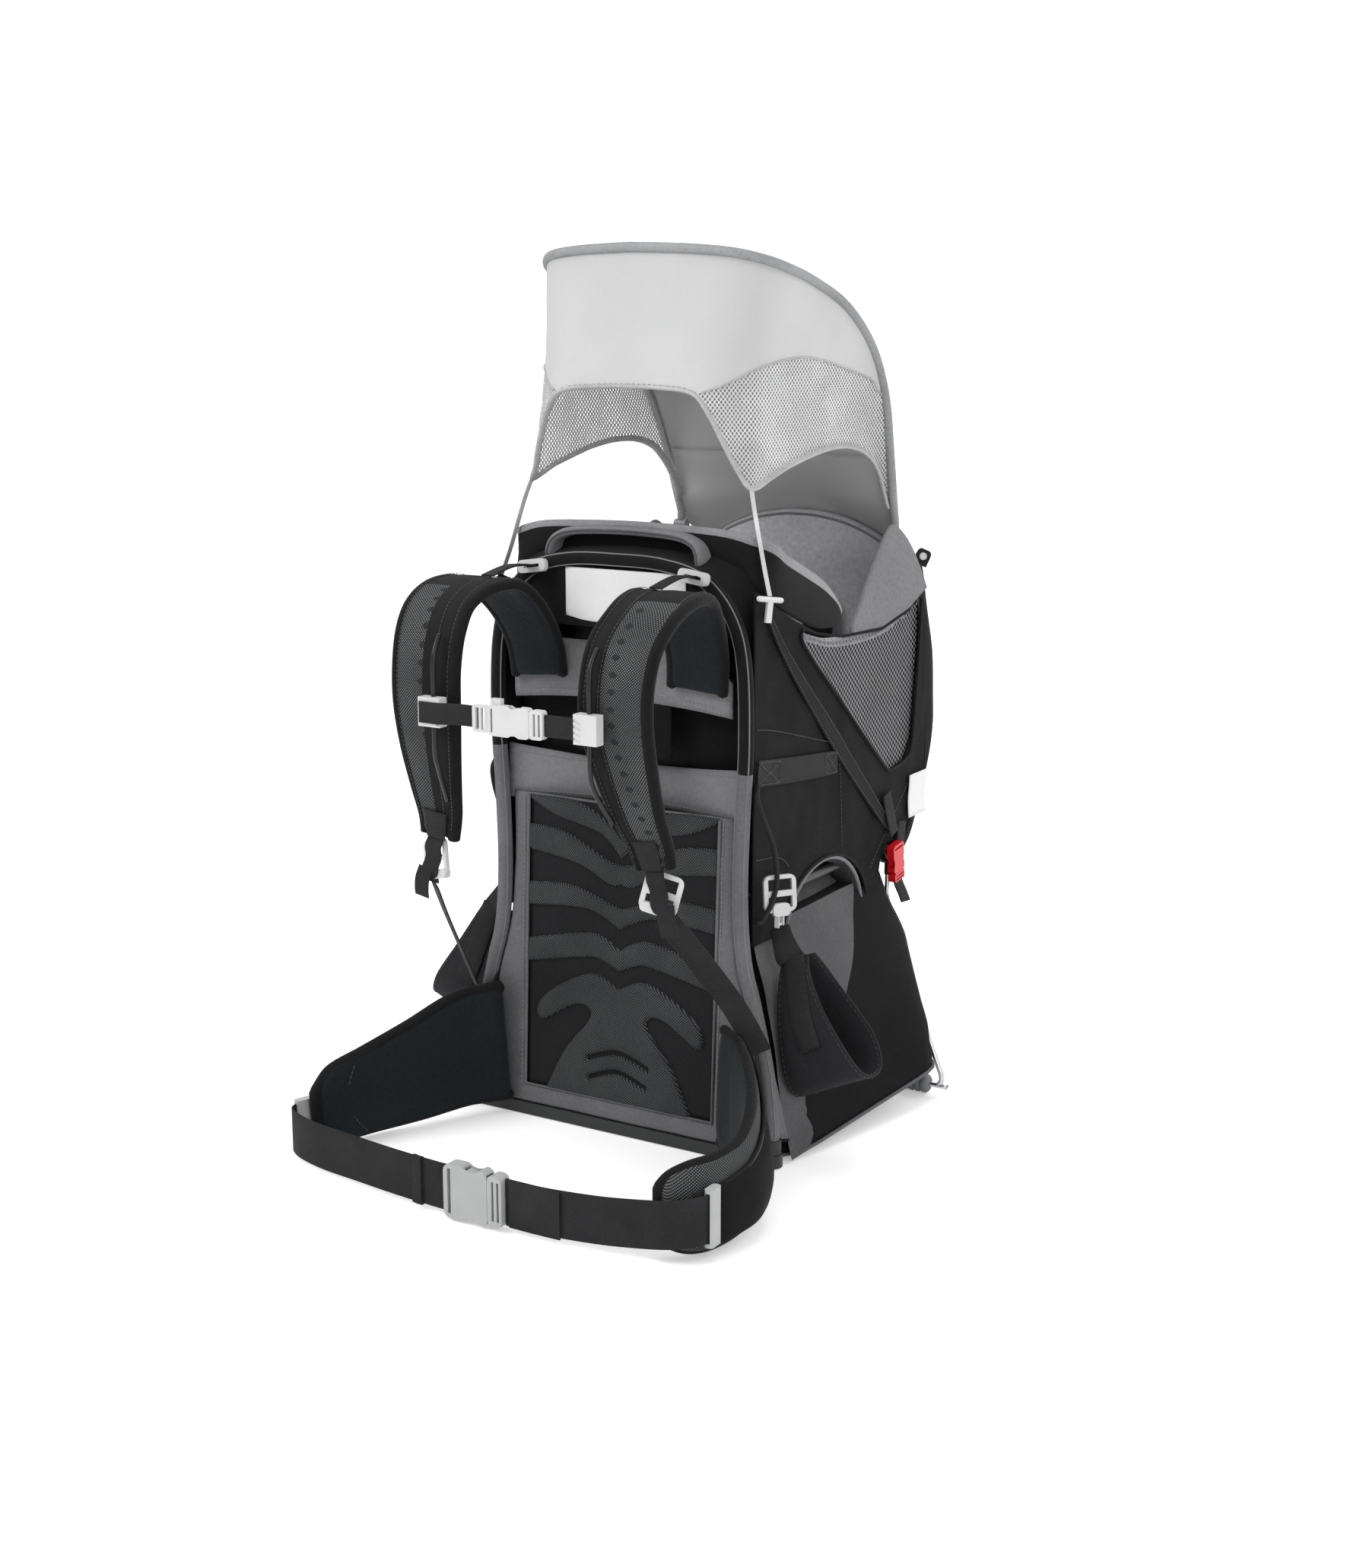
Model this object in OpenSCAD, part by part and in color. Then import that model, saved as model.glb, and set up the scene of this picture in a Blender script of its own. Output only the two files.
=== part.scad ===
// Child carrier backpack: X runs across the wearer's back, Y from the wearer
// to the child, Z up. The origin lies on the ground under the middle of the base bar.

/* [Back frame] */
// Radius of the frame tube
tube_r = 8; // [6:0.5:9]
// Half width of the frame at shoulder height, to the tube's centre
frame_half_w = 158; // [154:1:164]
// Half width of the frame at its waist, to the tube's centre
waist_half_w = 152; // [148:1:156]
// Half width of the frame at its base, to the tube's centre
base_half_w = 192; // [186:1:200]
// Height of the top arch, to the tube's centre
arch_z = 639; // [630:1:650]
// Distance of the frame tube's centre behind the front plane
frame_y = 6; // [4:1:10]
// Height of the base bar
base_bar_h = 14; // [12:1:15]
// Depth of the base bar
base_bar_d = 22; // [16:1:26]

/* [Back panel] */
// Lower edge of the mesh
mesh_z0 = 35; // [30:1:40]
// Length of the mesh up the back
mesh_len = 337; // [320:1:338]
// Half width of the mesh
mesh_half_w = 124; // [115:1:126]
// Thickness of the mesh panel
mesh_t = 5; // [3:0.5:8]
// Height that the foam ridges stand out of the mesh
foam_t = 5; // [3:0.5:8]
// Width of the border above and below the mesh
border_w = 20; // [14:1:20]
// Lean of the back panel, away from the wearer
back_lean = 2.6; // [0:0.2:4]
// Lower edge of the wide band
band_z = 377; // [376:1:382]
// Height of the wide band
band_h = 49; // [40:1:54]
// Thickness of the bands
band_t = 4; // [2:0.5:5]
// Sag of the bands behind a straight line
band_sag = 24; // [15:1:30]

/* [Child seat] */
// Half width across the side panels, to their outer faces
side_x = 163; // [160:1:166]
// Thickness of the fabric panels
cloth_t = 3; // [2:0.5:4]
// Height of the side panels' top edge
side_top = 590; // [580:1:600]
// Half width of the padded seat wrap
wrap_half_w = 152; // [148:1:154]
// Rear face of the seat wrap
wrap_y = 410; // [400:1:414]
// Thickness of the seat wrap
wrap_t = 20; // [14:1:24]
// Height of the seat wrap's rear edge
wrap_top = 664; // [650:1:675]
// Height of the seat wrap's side edges
rim_z = 550; // [540:1:552]
// Height of the saddle that the child sits on
saddle_z = 322; // [310:1:335]
// Width of the saddle
saddle_w = 150; // [120:1:170]

/* [Sunshade] */
// Radius of the hoop
hoop_r = 3.5; // [2.5:0.5:4]
// Height of the hoop's hinge
hoop_z = 640; // [636:1:644]
// Distance of the hoop's hinge behind the front plane
hoop_y = 373; // [371:1:376]
// Half distance between the hoop's two hinges
hoop_x = 145; // [143:1:147]
// Height of the hoop's top
hoop_top = 960; // [930:1:980]
// Thickness of the sunshade cloth
shade_t = 1.6; // [1.2:0.2:2.4]

/* [Kickstand] */
// Radius of the kickstand rod
rod_r = 3.2; // [2.6:0.2:3.8]
// Height of the kickstand's hinge
kick_z = 262; // [256:1:268]
// Distance of the kickstand's hinge behind the front plane
kick_y = 348; // [342:1:352]
// Half distance between the kickstand's two hinges
kick_x = 157; // [156:0.5:157]
// Radius of the hinge pins
pin_r = 2.5; // [2:0.1:3]
// Radial clearance round the hinge pins
pin_gap = 0.06; // [0.04:0.01:0.09]
// Distance of the ground bar behind the front plane
foot_y = 297; // [290:1:304]
// Half width of the ground bar, to the middle of its bends
foot_x = 257; // [250:1:262]
// Radius of the rubber feet
foot_r = 11; // [9:0.5:13]
// Length of one rubber foot
foot_len = 36; // [28:1:42]

/* [Harness] */
// Width of a shoulder pad at its widest
pad_w = 82; // [74:1:86]
// Thickness of a shoulder pad
pad_t = 13; // [10:0.5:16]
// Width of the harness webbing
web_w = 22; // [18:1:25]
// Thickness of all webbing
web_t = 1.8; // [1.4:0.2:2.4]
// Height of the chest strap
chest_z = 498; // [485:1:510]
// Radius of the rails that the chest strap slides on
rail_r = 2; // [1.6:0.2:2.4]

/* [Hip belt] */
// Height of a hip wing at its root
wing_root_h = 140; // [125:1:150]
// Height of a hip wing at its tip
wing_tip_h = 96; // [85:1:105]
// Thickness of a hip wing
wing_t = 20; // [14:1:24]
// Width of the hip webbing
belt_w = 50; // [44:1:54]
// Distance of the hip buckle in front of the front plane
belt_y = 281; // [276:1:290]

/* [Clearances] */
// Gap between soft pieces that lie against each other
seat_gap = 0.3; // [0.2:0.1:0.4]
// Gap round the sliding tongue of a buckle
slide_gap = 0.4; // [0.3:0.05:0.6]

/* [Hidden] */

// ---- curves and skins ----

function unit(v) = v / norm(v);

function reversed(P) = [for (i = [len(P) - 1:-1:0]) P[i]];

// the mirror image of a path across the middle plane, with any width that it carries
function mirrored(P) = [for (p = P) [-p[0], for (k = [1:len(p) - 1]) p[k]]];

// a right half that ends on the middle plane, and its mirror image after it
function whole(P) = concat(P, reversed(mirrored([for (i = [0:len(P) - 2]) P[i]])));

// a smooth curve through the points P, with n steps from each point to the next
function spline(P, n) = concat([
    for (i = [0:len(P) - 2])
        let (a = P[max(i - 1, 0)], b = P[i], c = P[i + 1], d = P[min(i + 2, len(P) - 1)])
            for (k = [0:n - 1])
                let (t = k / n)
                    b + t * (c - a) / 2 + t * t * (a - 2.5 * b + 2 * c - d / 2)
                      + t * t * t * (1.5 * (b - c) + (d - a) / 2)
], [P[len(P) - 1]]);

function place(p) = [p[0], p[1], p[2]];

// the direction of a path at its point i
function along(P, i) = unit(place(P[min(i + 1, len(P) - 1)]) - place(P[max(i - 1, 0)]));

// n points round c, square to t; ref is a direction that the path never takes
function round_ring(c, t, ref, r, n) =
    let (u = unit(cross(ref, t)), v = cross(t, u))
        [for (k = [0:n - 1]) c + r * (cos(360 * k / n) * u + sin(360 * k / n) * v)];

// an outline of points [share of the width, share of the thickness], set square to t
function cut_ring(c, t, s, w, h, outline) =
    let (a = unit(s - t * (s * t)), b = cross(t, a))
        [for (q = outline) c + a * q[0] * w + b * q[1] * h];

flat_outline = [[0.5, -0.5], [0.5, 0.5], [-0.5, 0.5], [-0.5, -0.5]];
pad_outline = [
    [0.44, -0.5], [0.5, -0.2], [0.5, 0.2], [0.44, 0.5],
    [-0.44, 0.5], [-0.5, 0.2], [-0.5, -0.2], [-0.44, -0.5]
];

function loop_faces(a, n) = [for (j = [0:n - 1])
    let (k = (j + 1) % n) each [[a + j, a + n + j, a + n + k], [a + j, a + n + k, a + k]]];

// a closed solid through rings of equal length, with flat ends
module skin(rings) {
    n = len(rings[0]);
    last = (len(rings) - 1) * n;
    polyhedron(
        points = [for (r = rings) each r],
        faces = concat(
            [[for (j = [0:n - 1]) j]],
            [[for (j = [n - 1:-1:0]) last + j]],
            [for (i = [0:len(rings) - 2]) each loop_faces(i * n, n)]
        )
    );
}

// a cloth sheet between two grids of points; front lies on the side that faces out
module sheet(front, back) {
    m = len(front);
    n = len(front[0]);
    s = m * n;
    polyhedron(
        points = concat([for (r = front) each r], [for (r = back) each r]),
        faces = concat(
            [for (i = [0:m - 2], j = [0:n - 2]) let (a = i * n + j)
                each [[a, a + 1, a + n + 1], [a, a + n + 1, a + n]]],
            [for (i = [0:m - 2], j = [0:n - 2]) let (a = s + i * n + j)
                each [[a, a + n + 1, a + 1], [a, a + n, a + n + 1]]],
            [for (i = [0:m - 2]) let (a = i * n)
                each [[a, a + n, a + n + s], [a, a + n + s, a + s]]],
            [for (i = [0:m - 2]) let (a = i * n + n - 1)
                each [[a, a + s, a + n + s], [a, a + n + s, a + n]]],
            [for (j = [0:n - 2]) each [[j, j + s, j + 1 + s], [j, j + 1 + s, j + 1]]],
            [for (j = [0:n - 2]) let (a = (m - 1) * n + j)
                each [[a, a + 1, a + 1 + s], [a, a + 1 + s, a + s]]]
        )
    );
}

// a round tube along the path P
module tube(P, r, ref, n = 10) {
    skin([for (i = [0:len(P) - 1]) round_ring(P[i], along(P, i), ref, r, n)]);
}

// a strip along P, whose points carry their width after their place
module strip(P, side, h, outline = flat_outline) {
    skin([for (i = [0:len(P) - 1]) cut_ring(place(P[i]), along(P, i), side, P[i][3], h, outline)]);
}

module both_sides() {
    children();
    mirror([1, 0, 0]) children();
}

module rounded_rect(w, h, r) {
    hull() for (x = [-1, 1], y = [-1, 1])
        translate([x * (w / 2 - r), y * (h / 2 - r)]) circle(r, $fn = 16);
}

// ---- back frame ----

frame_path = spline(whole([
    [base_half_w, frame_y, base_bar_h + 0.1],
    [base_half_w, frame_y, base_bar_h + 14],
    [base_half_w, frame_y, base_bar_h + 28],
    [base_half_w - 6, frame_y, 100],
    [waist_half_w + 18, frame_y, 172],
    [waist_half_w + 5, frame_y, 222],
    [waist_half_w, frame_y, 290],
    [waist_half_w + 2, frame_y, 375],
    [frame_half_w, frame_y, arch_z - 184],
    [frame_half_w - 3, frame_y, arch_z - 99],
    [frame_half_w - 18, frame_y, arch_z - 50],
    [frame_half_w - 52, frame_y, arch_z - 15],
    [frame_half_w - 100, frame_y, arch_z - 2],
    [0, frame_y, arch_z]
]), 2);

module frame_tube() {
    color("#56585a") tube(frame_path, tube_r, [0, 1, 0], 10);
}

collar_wall = 2.5;

module base_bar() {
    collar_h = 16;
    bar_x = base_half_w + tube_r + 4;
    color("#4c4e50") difference() {
        union() {
            translate([0, frame_y, 0]) linear_extrude(base_bar_h)
                rounded_rect(2 * bar_x, base_bar_d, base_bar_d / 2 - 1);
            both_sides() translate([base_half_w, frame_y, base_bar_h - 1])
                cylinder(r = tube_r + collar_wall, h = collar_h + 1, $fn = 32);
        }
        both_sides() translate([base_half_w, frame_y, base_bar_h])
            cylinder(r = tube_r + 0.2, h = collar_h + 1, $fn = 32);
    }
}

// the U-shaped tube that carries the seat and the kickstand
seat_frame_r = 6;
seat_frame_z = kick_z + 16;
seat_frame_x = waist_half_w - 4;
seat_frame_y = kick_y + 8;

module seat_frame() {
    bend = 24;
    start = frame_y + tube_r + seat_gap;
    color("#8e9194") translate([0, 0, seat_frame_z]) {
        both_sides() {
            translate([seat_frame_x, start, 0]) rotate([-90, 0, 0])
                cylinder(r = seat_frame_r, h = seat_frame_y - bend - start, $fn = 24);
            translate([seat_frame_x - bend, seat_frame_y - bend, 0])
                rotate_extrude(angle = 90, $fn = 48) translate([bend, 0]) circle(seat_frame_r, $fn = 24);
        }
        translate([-(seat_frame_x - bend), seat_frame_y, 0]) rotate([0, 90, 0])
            cylinder(r = seat_frame_r, h = 2 * (seat_frame_x - bend), $fn = 24);
    }
}

// ---- back panel ----

// drawings on the back panel: X across, Y up the panel from the mesh's lower edge, thickness to the wearer
module on_back() {
    translate([0, 0, mesh_z0]) rotate([90 - back_lean, 0, 0]) children();
}

module back_mesh() {
    color("#151617") on_back() translate([-mesh_half_w, 0, -mesh_t])
        cube([2 * mesh_half_w, mesh_len, mesh_t]);
}

// one foam ridge across the mesh, from its upper and lower edges on the right half
module ridge(upper, lower) {
    top = spline(upper, 3);
    low = spline(lower, 3);
    half = concat(top, reversed(low));
    polygon(half);
    mirror([1, 0]) polygon(half);
}

module slot(x, y, bow) {
    arc = spline([[-x, y - bow], [0, y], [x, y - bow]], 4);
    for (i = [0:len(arc) - 2]) hull() for (p = [arc[i], arc[i + 1]]) translate(p) circle(2.6, $fn = 8);
}

module back_foam() {
    edge = mesh_half_w - 2;
    color("#37393b") on_back() linear_extrude(foam_t) {
        ridge([[0, 301], [22, 318], [62, 336], [edge, mesh_len]],
              [[0, 277], [26, 302], [84, 315], [edge, 332]]);
        ridge([[0, 271], [20, 275], [74, 299], [edge, 303]],
              [[0, 249], [14, 247], [56, 265], [edge, 274]]);
        ridge([[0, 223], [8, 224], [62, 240], [edge, 237]],
              [[0, 198], [28, 212], [58, 216], [edge, 210]]);
        ridge([[0, 175], [20, 187], [46, 189], [edge, 172]],
              [[0, 151], [22, 160], [44, 161], [edge, 145]]);
        difference() {
            lumbar = spline([
                [0, 131], [34, 144], [78, 125], [106, 101], [103, 80], [62, 103], [40, 104],
                [39, 90], [70, 52], [96, 1]
            ], 3);
            both_sides() polygon(concat(lumbar, [[0, 1]]));
            slot(40, 58, 12);
            slot(38, 36, 12);
        }
    }
}

// the space inside the frame tube between two heights, in X and Z
module between_tubes(low, high, gap) {
    polygon([for (i = [0:len(frame_path) - 1])
        let (p = frame_path[i], q = p + cross(along(frame_path, i), [0, 1, 0]) * (tube_r + gap))
            if (p[2] > low && p[2] < high) [q[0], q[2]]]);
}

module back_border() {
    color("#6a6c6e") on_back() translate([0, 0, -mesh_t]) linear_extrude(mesh_t + 1.5) difference() {
        translate([0, -mesh_z0]) intersection() {
            between_tubes(0, band_z, collar_wall + seat_gap);
            translate([-base_half_w, mesh_z0 - border_w]) square([2 * base_half_w, border_w + mesh_len + 1]);
        }
        translate([-mesh_half_w - 0.1, -0.1]) square([2 * mesh_half_w + 0.2, mesh_len + 2]);
    }
}

// a band that bows away from the wearer between two points of its front face
module bowed_band(half_w, front_y, sag, t, h) {
    r = (half_w * half_w + sag * sag) / (2 * sag);
    a = asin(half_w / r);
    translate([0, front_y + sag - r, 0]) rotate([0, 0, 90 - a])
        rotate_extrude(angle = 2 * a, $fn = 180) translate([r, 0]) square([t, h]);
}

module wide_band() {
    color("#606264") translate([0, 0, band_z])
        bowed_band(waist_half_w, frame_y + tube_r + seat_gap, band_sag, band_t, band_h);
}

// the board that the shoulder yoke slides on
board_y = frame_y + tube_r + seat_gap;
board_t = 4;

module torso_board() {
    low = band_z + band_h + 1;
    color("#1b1c1d") translate([-60, board_y, low]) cube([120, board_t, arch_z - low]);
}

module top_panel() {
    color("#2a2c2e") translate([0, frame_y + cloth_t / 2, 0]) rotate([90, 0, 0])
        linear_extrude(cloth_t) between_tubes(arch_z - 74, arch_z + 1, seat_gap);
}

wall_y = board_y + band_sag + band_t + seat_gap;

module front_wall() {
    color("#202224") translate([-(side_x - 8), wall_y, kick_z + 24])
        cube([2 * (side_x - 8), cloth_t, side_top - kick_z - 32]);
}

module blank_patches() {
    color("#e4e6e6") translate([-65, frame_y - cloth_t / 2 - 1 - seat_gap, arch_z - 68]) cube([126, 1, 50]);
    color("#e4e6e6") translate([side_x + 0.1, 384, 304]) cube([1, 46, 52]);
}

handle_d = 20;

module haul_handle() {
    y = frame_y + tube_r + seat_gap + handle_d / 2;
    color("#77797b") strip(spline(whole([
        [88, y, arch_z - 6, handle_d - 4], [90, y, arch_z + 10, handle_d - 2], [84, y, arch_z + 21, handle_d],
        [60, y, arch_z + 27, handle_d], [0, y, arch_z + 29, handle_d]
    ]), 3), [0, 1, 0], 9, pad_outline);
}

// ---- child seat ----

module drool_pad() {
    t = 12;
    side = wrap_half_w + seat_gap + t / 2;
    front = frame_y + tube_r + seat_gap + handle_d + 1 + t / 2;
    color("#262829") strip(spline(whole([
        [side, 207, 562, 16], [side, 194, 571, 34], [side, 160, 585, 54], [side, 110, 605, 58],
        [side, 70, 622, 56], [side - 5, front + 10, 638, 48], [side - 20, front + 2, arch_z + 9, 40],
        [side - 56, front, arch_z + 18, 34], [0, front, arch_z + 22, 32]
    ]), 2), [0, 0, 1], t, pad_outline);
}

// plan of the seat wrap's outer face on the right, with the height of its rim there
wrap_plan = spline(whole([
    [wrap_half_w, 110, rim_z + 14], [wrap_half_w, 160, rim_z], [wrap_half_w, 245, rim_z],
    [wrap_half_w - 1, 310, rim_z + 10], [wrap_half_w - 10, wrap_y - 52, rim_z + 66],
    [wrap_half_w - 34, wrap_y - 20, wrap_top - 18], [wrap_half_w - 70, wrap_y - 3, wrap_top - 3],
    [0, wrap_y, wrap_top]
]), 2);

module seat_wrap() {
    low = seat_frame_z + seat_frame_r + 30;
    color("#77787b") skin([for (i = [0:len(wrap_plan) - 1])
        let (p = wrap_plan[i], t = unit([each [for (k = [0, 1]) along(wrap_plan, i)[k]], 0]),
             n = cross(t, [0, 0, 1]), q = [p[0], p[1], 0])
            [for (c = [[-wrap_t, low], [-wrap_t, p[2] - 6], [6 - wrap_t, p[2]],
                       [-6, p[2]], [0, p[2] - 6], [0, low]])
                q + n * c[0] + [0, 0, c[1]]]]);
}

module seat_saddle() {
    front = wall_y + cloth_t + seat_gap;
    back = wrap_y - wrap_t - 2.8;
    color("#505254") translate([-saddle_w / 2, 0, 0]) rotate([90, 0, 90])
        linear_extrude(saddle_w) polygon(concat(
            spline([[front, saddle_z + 45], [front + 14, saddle_z + 12], [front + 60, saddle_z - 8],
                    [back - 90, saddle_z - 10], [back - 30, saddle_z + 2], [back, saddle_z + 40]], 4),
            reversed(spline([[front, saddle_z + 20], [front + 10, saddle_z - 10],
                    [front + 60, saddle_z - 26], [back - 90, saddle_z - 28],
                    [back - 24, saddle_z - 18], [back, saddle_z + 6]], 4))
        ));
}

// two shoulder straps with pads, a crotch strap and the buckle that joins them
module child_harness() {
    back = wrap_y - wrap_t - seat_gap;
    color("#1d1e20") both_sides() {
        strip(spline([[34, back - 4, wrap_top - 70, 40], [36, back - 5, 520, 40], [34, back - 10, 470, 38],
                      [24, back - 34, 425, 22]], 3), [1, 0, 0], 5);
    }
    color("#1d1e20") translate([-26, back - 46, 402]) rotate([-14, 0, 0])
        linear_extrude(26, scale = [0.85, 0.7]) translate([26, 6]) square([52, 16], center = true);
    color("#1d1e20") strip(spline([[0, back - 46, 401, 24], [0, back - 66, 360, 24],
        [0, back - 84, saddle_z - 7, 24]], 3), [1, 0, 0], 4);
}

// ---- body panels ----

mesh_cloth_t = 2;

// outline of the leg opening, in Y and Z
function leg_arch(y, z, ry, rz) = [for (a = [-10:12.5:190]) [y + ry * cos(a), z + rz * sin(a)]];

module side_panel() {
    front = frame_y + tube_r + seat_gap;
    color("#2b2d2f") translate([side_x - cloth_t, 0, 0]) rotate([90, 0, 90])
        linear_extrude(cloth_t) difference() {
            polygon([
                [front, kick_z - 26], [kick_y - 40, kick_z - 26], [kick_y - 27, kick_z + 21],
                [panel_end(kick_z + 21), kick_z + 21], [wrap_y + 20, kick_z + 90],
                [wrap_y + 20, side_top - 14], [wrap_y - 30, side_top - 18], [216, side_top - 24],
                [213, rim_z + 5.2], [186, rim_z + 5.2], [150, rim_z + 7.5], [99, rim_z + 25],
                [59, rim_z + 43], [48, side_top + 11], [front + 12, side_top + 20], [front, side_top + 24]
            ]);
            polygon([
                [118, rim_z + 8], [160, rim_z - 4], [240, rim_z - 4], [320, rim_z + 5], [400, rim_z + 20],
                [403, 520], [394, 400], [376, 377], [340, 371], [318, 380], [222, 460], [120, 545]
            ]);
            polygon(leg_arch(176, kick_z - 42, 104, 80));
        }
}

// the mesh lies behind the panel and overlaps the edge of its window
module mesh_window() {
    color("#8a8c8e") translate([side_x - cloth_t - seat_gap - mesh_cloth_t, 0, 0]) rotate([90, 0, 90])
        linear_extrude(mesh_cloth_t) polygon([
            [108, rim_z + 15], [160, rim_z + 3], [240, rim_z + 4], [320, rim_z + 11], [406, rim_z + 24],
            [410, 520], [401, 396], [380, 369], [340, 363], [313, 373], [217, 453], [110, 545]
        ]);
}

// the rear edge of the side panels at height z
function panel_end(z) = min(wrap_y + 20, kick_y + 16 + (z - kick_z - 4) * 0.767);

// the rear shell's plan at height z: half width, rear face and corner radius
function shell_plan(z, w, y, r) = concat(
    [[w, panel_end(z) + 2, z]],
    [for (a = [0:22.5:90]) [w - r + r * cos(a), y - r + r * sin(a), z]],
    [for (a = [90:22.5:180]) [-(w - r) + r * cos(a), y - r + r * sin(a), z]],
    [[-w, panel_end(z) + 2, z]]
);

shell_rows = [for (k = [
    [kick_z + 5, 0, -25, 14], [kick_z + 25, 0, 5, 20], [kick_z + 92, -1, 42, 17], [402, -2, 74, 34],
    [450, -3, 82, 45], [498, -5, 82, 45], [548, -8, 65, 38], [side_top - 8, -12, 56, 29],
    [side_top + 8, -14, 50, 24]
]) [k[0], side_x + k[1], wrap_y + k[2], k[3]]];

module rear_shell() {
    color("#26282a") sheet(
        [for (k = shell_rows) shell_plan(k[0], k[1] - cloth_t, k[2] - cloth_t, k[3] - cloth_t)],
        [for (k = shell_rows) shell_plan(k[0], k[1], k[2], k[3])]
    );
}

module rear_tabs() {
    color("#1b1c1d") {
        translate([139.5, wrap_y + 43, side_top + 8 + seat_gap]) rotate([0, 0, -40])
            translate([-9, -2, 0]) cube([18, 4, 20]);
        translate([side_x - 40, wrap_y + 81.6, 430]) rotate([0, 0, -20]) difference() {
            cube([5, 12, 24]);
            translate([-1, 0, 3]) cube([7, 9, 18]);
        }
    }
}

// the soft storage bag below the seat, which folds up with the kickstand;
// each row holds its height and half width in front, then the place of its rear corner
bag_rows = [
    [2, base_half_w + 14, foot_x - 14, foot_y - 4, 43],
    [50, base_half_w + 2, foot_x - 28, foot_y + 5, 76],
    [90, base_half_w - 5, foot_x - 46, foot_y + 16, 108],
    [135, base_half_w - 11, foot_x - 62, foot_y + 29, 145],
    [180, base_half_w - 20, foot_x - 78, foot_y + 37, 180],
    [220, side_x - 5, side_x - 4, foot_y + 37, 220],
    [kick_z - 14, side_x - 8, side_x - 12, foot_y + 34, kick_z - 14]
];

module lower_bag() {
    front = frame_y + base_bar_d / 2 + seat_gap;
    color("#232527") skin([for (k = bag_rows)
        [[k[1], front, k[0]], [k[2], k[3], k[4]], [-k[2], k[3], k[4]], [-k[1], front, k[0]]]]);
}

module side_bands() {
    color("#313335") both_sides() translate([side_x + seat_gap, frame_y + tube_r + 4, 0]) rotate([90, 0, 90])
        linear_extrude(2) {
            polygon([[0, 409], [178, 392], [181, 418], [0, 438]]);
            polygon([[12, 592], [24, 588], [120, 478], [210, 402], [292, 330], [344, 294], [333, 286],
                     [278, 318], [196, 388], [106, 464]]);
        }
}

// the elastic loops that hang from the frame's edges
module elastic_loops() {
    x = side_x + 5;
    color("#5d5f61") both_sides() tube(spline([
        [x - 2.4, frame_y + tube_r + 4, 384], [x + 2, 24, 362], [x + 4, 30, 336], [x + 3, 25, 310],
        [x + 2, 20, 285], [x + 1, 18, 262], [x - 2.4, 18, 254]
    ], 3), 2.2, [1, 0, 0.2], 8);
}

// ---- kickstand ----

// one leg of the kickstand, from its hinge to the ground bar's middle
leg_path = spline([
    [kick_x, kick_y, kick_z - 10], [kick_x, kick_y, kick_z - 21], [kick_x, kick_y, kick_z - 30],
    [kick_x + 1, kick_y - 1, kick_z - 50], [kick_x + 17, kick_y - 4, 180],
    [foot_x - 62, foot_y + 37, 145], [foot_x - 46, foot_y + 24, 108], [foot_x - 28, foot_y + 11, 76],
    [foot_x - 9, foot_y + 2, 42], [foot_x, foot_y, 22], [foot_x - 4, foot_y, foot_r + 1],
    [foot_x - 14, foot_y, foot_r], [0, foot_y, foot_r]
], 2);

module kickstand_rod() {
    color("#7d8083") tube(whole(leg_path), rod_r, [0, 1, 0.02], 8);
}

knuckle_w = 8;
knuckle_r = 6.5;
ear_t = 3;
ear_x = knuckle_w / 2 + seat_gap;

module hinge_knuckle(r, w) {
    rotate([0, 90, 0]) difference() {
        cylinder(r = r, h = w, center = true, $fn = 32);
        cylinder(r = pin_r + pin_gap, h = w + 2, center = true, $fn = 32);
    }
}

module kickstand_knuckles() {
    color("#2f3133") both_sides() translate([kick_x, kick_y, kick_z]) {
        hinge_knuckle(knuckle_r, knuckle_w);
        translate([0, 0, -20]) difference() {
            cylinder(r = 4, h = 20 - knuckle_r + 0.4, $fn = 32);
            translate([0, 0, -1]) cylinder(r = rod_r + 0.3, h = 11.2, $fn = 32);
        }
    }
}

module kickstand_pins() {
    color("#b9bcbf") both_sides() translate([kick_x, kick_y, kick_z]) rotate([0, 90, 0])
        cylinder(r = pin_r, h = 2 * (ear_x + ear_t), center = true, $fn = 32);
}

// a clamp on the seat frame with two ears for the hinge pin
module kickstand_brackets() {
    clamp_x = seat_frame_x - kick_x;
    clamp_w = 2 * seat_frame_r + 8;
    color("#3a3c3e") both_sides() translate([kick_x, kick_y, kick_z]) difference() {
        union() {
            for (x = [-ear_x - ear_t, ear_x]) translate([x, 0, 0]) rotate([0, 90, 0]) hull() {
                cylinder(r = 7, h = ear_t, $fn = 32);
                translate([-15, -18, 0]) cylinder(r = 5, h = ear_t, $fn = 32);
            }
            translate([-ear_x - ear_t, -23, 10]) cube([2 * (ear_x + ear_t), 10, 10]);
            translate([clamp_x - clamp_w / 2, -43, 6]) cube([clamp_w, 26, clamp_w]);
        }
        translate([-20, 0, 0]) rotate([0, 90, 0]) cylinder(r = pin_r, h = 40, $fn = 32);
        translate([clamp_x, -50, seat_frame_z - kick_z]) rotate([-90, 0, 0])
            cylinder(r = seat_frame_r + 0.2, h = 60, $fn = 32);
    }
}

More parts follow.
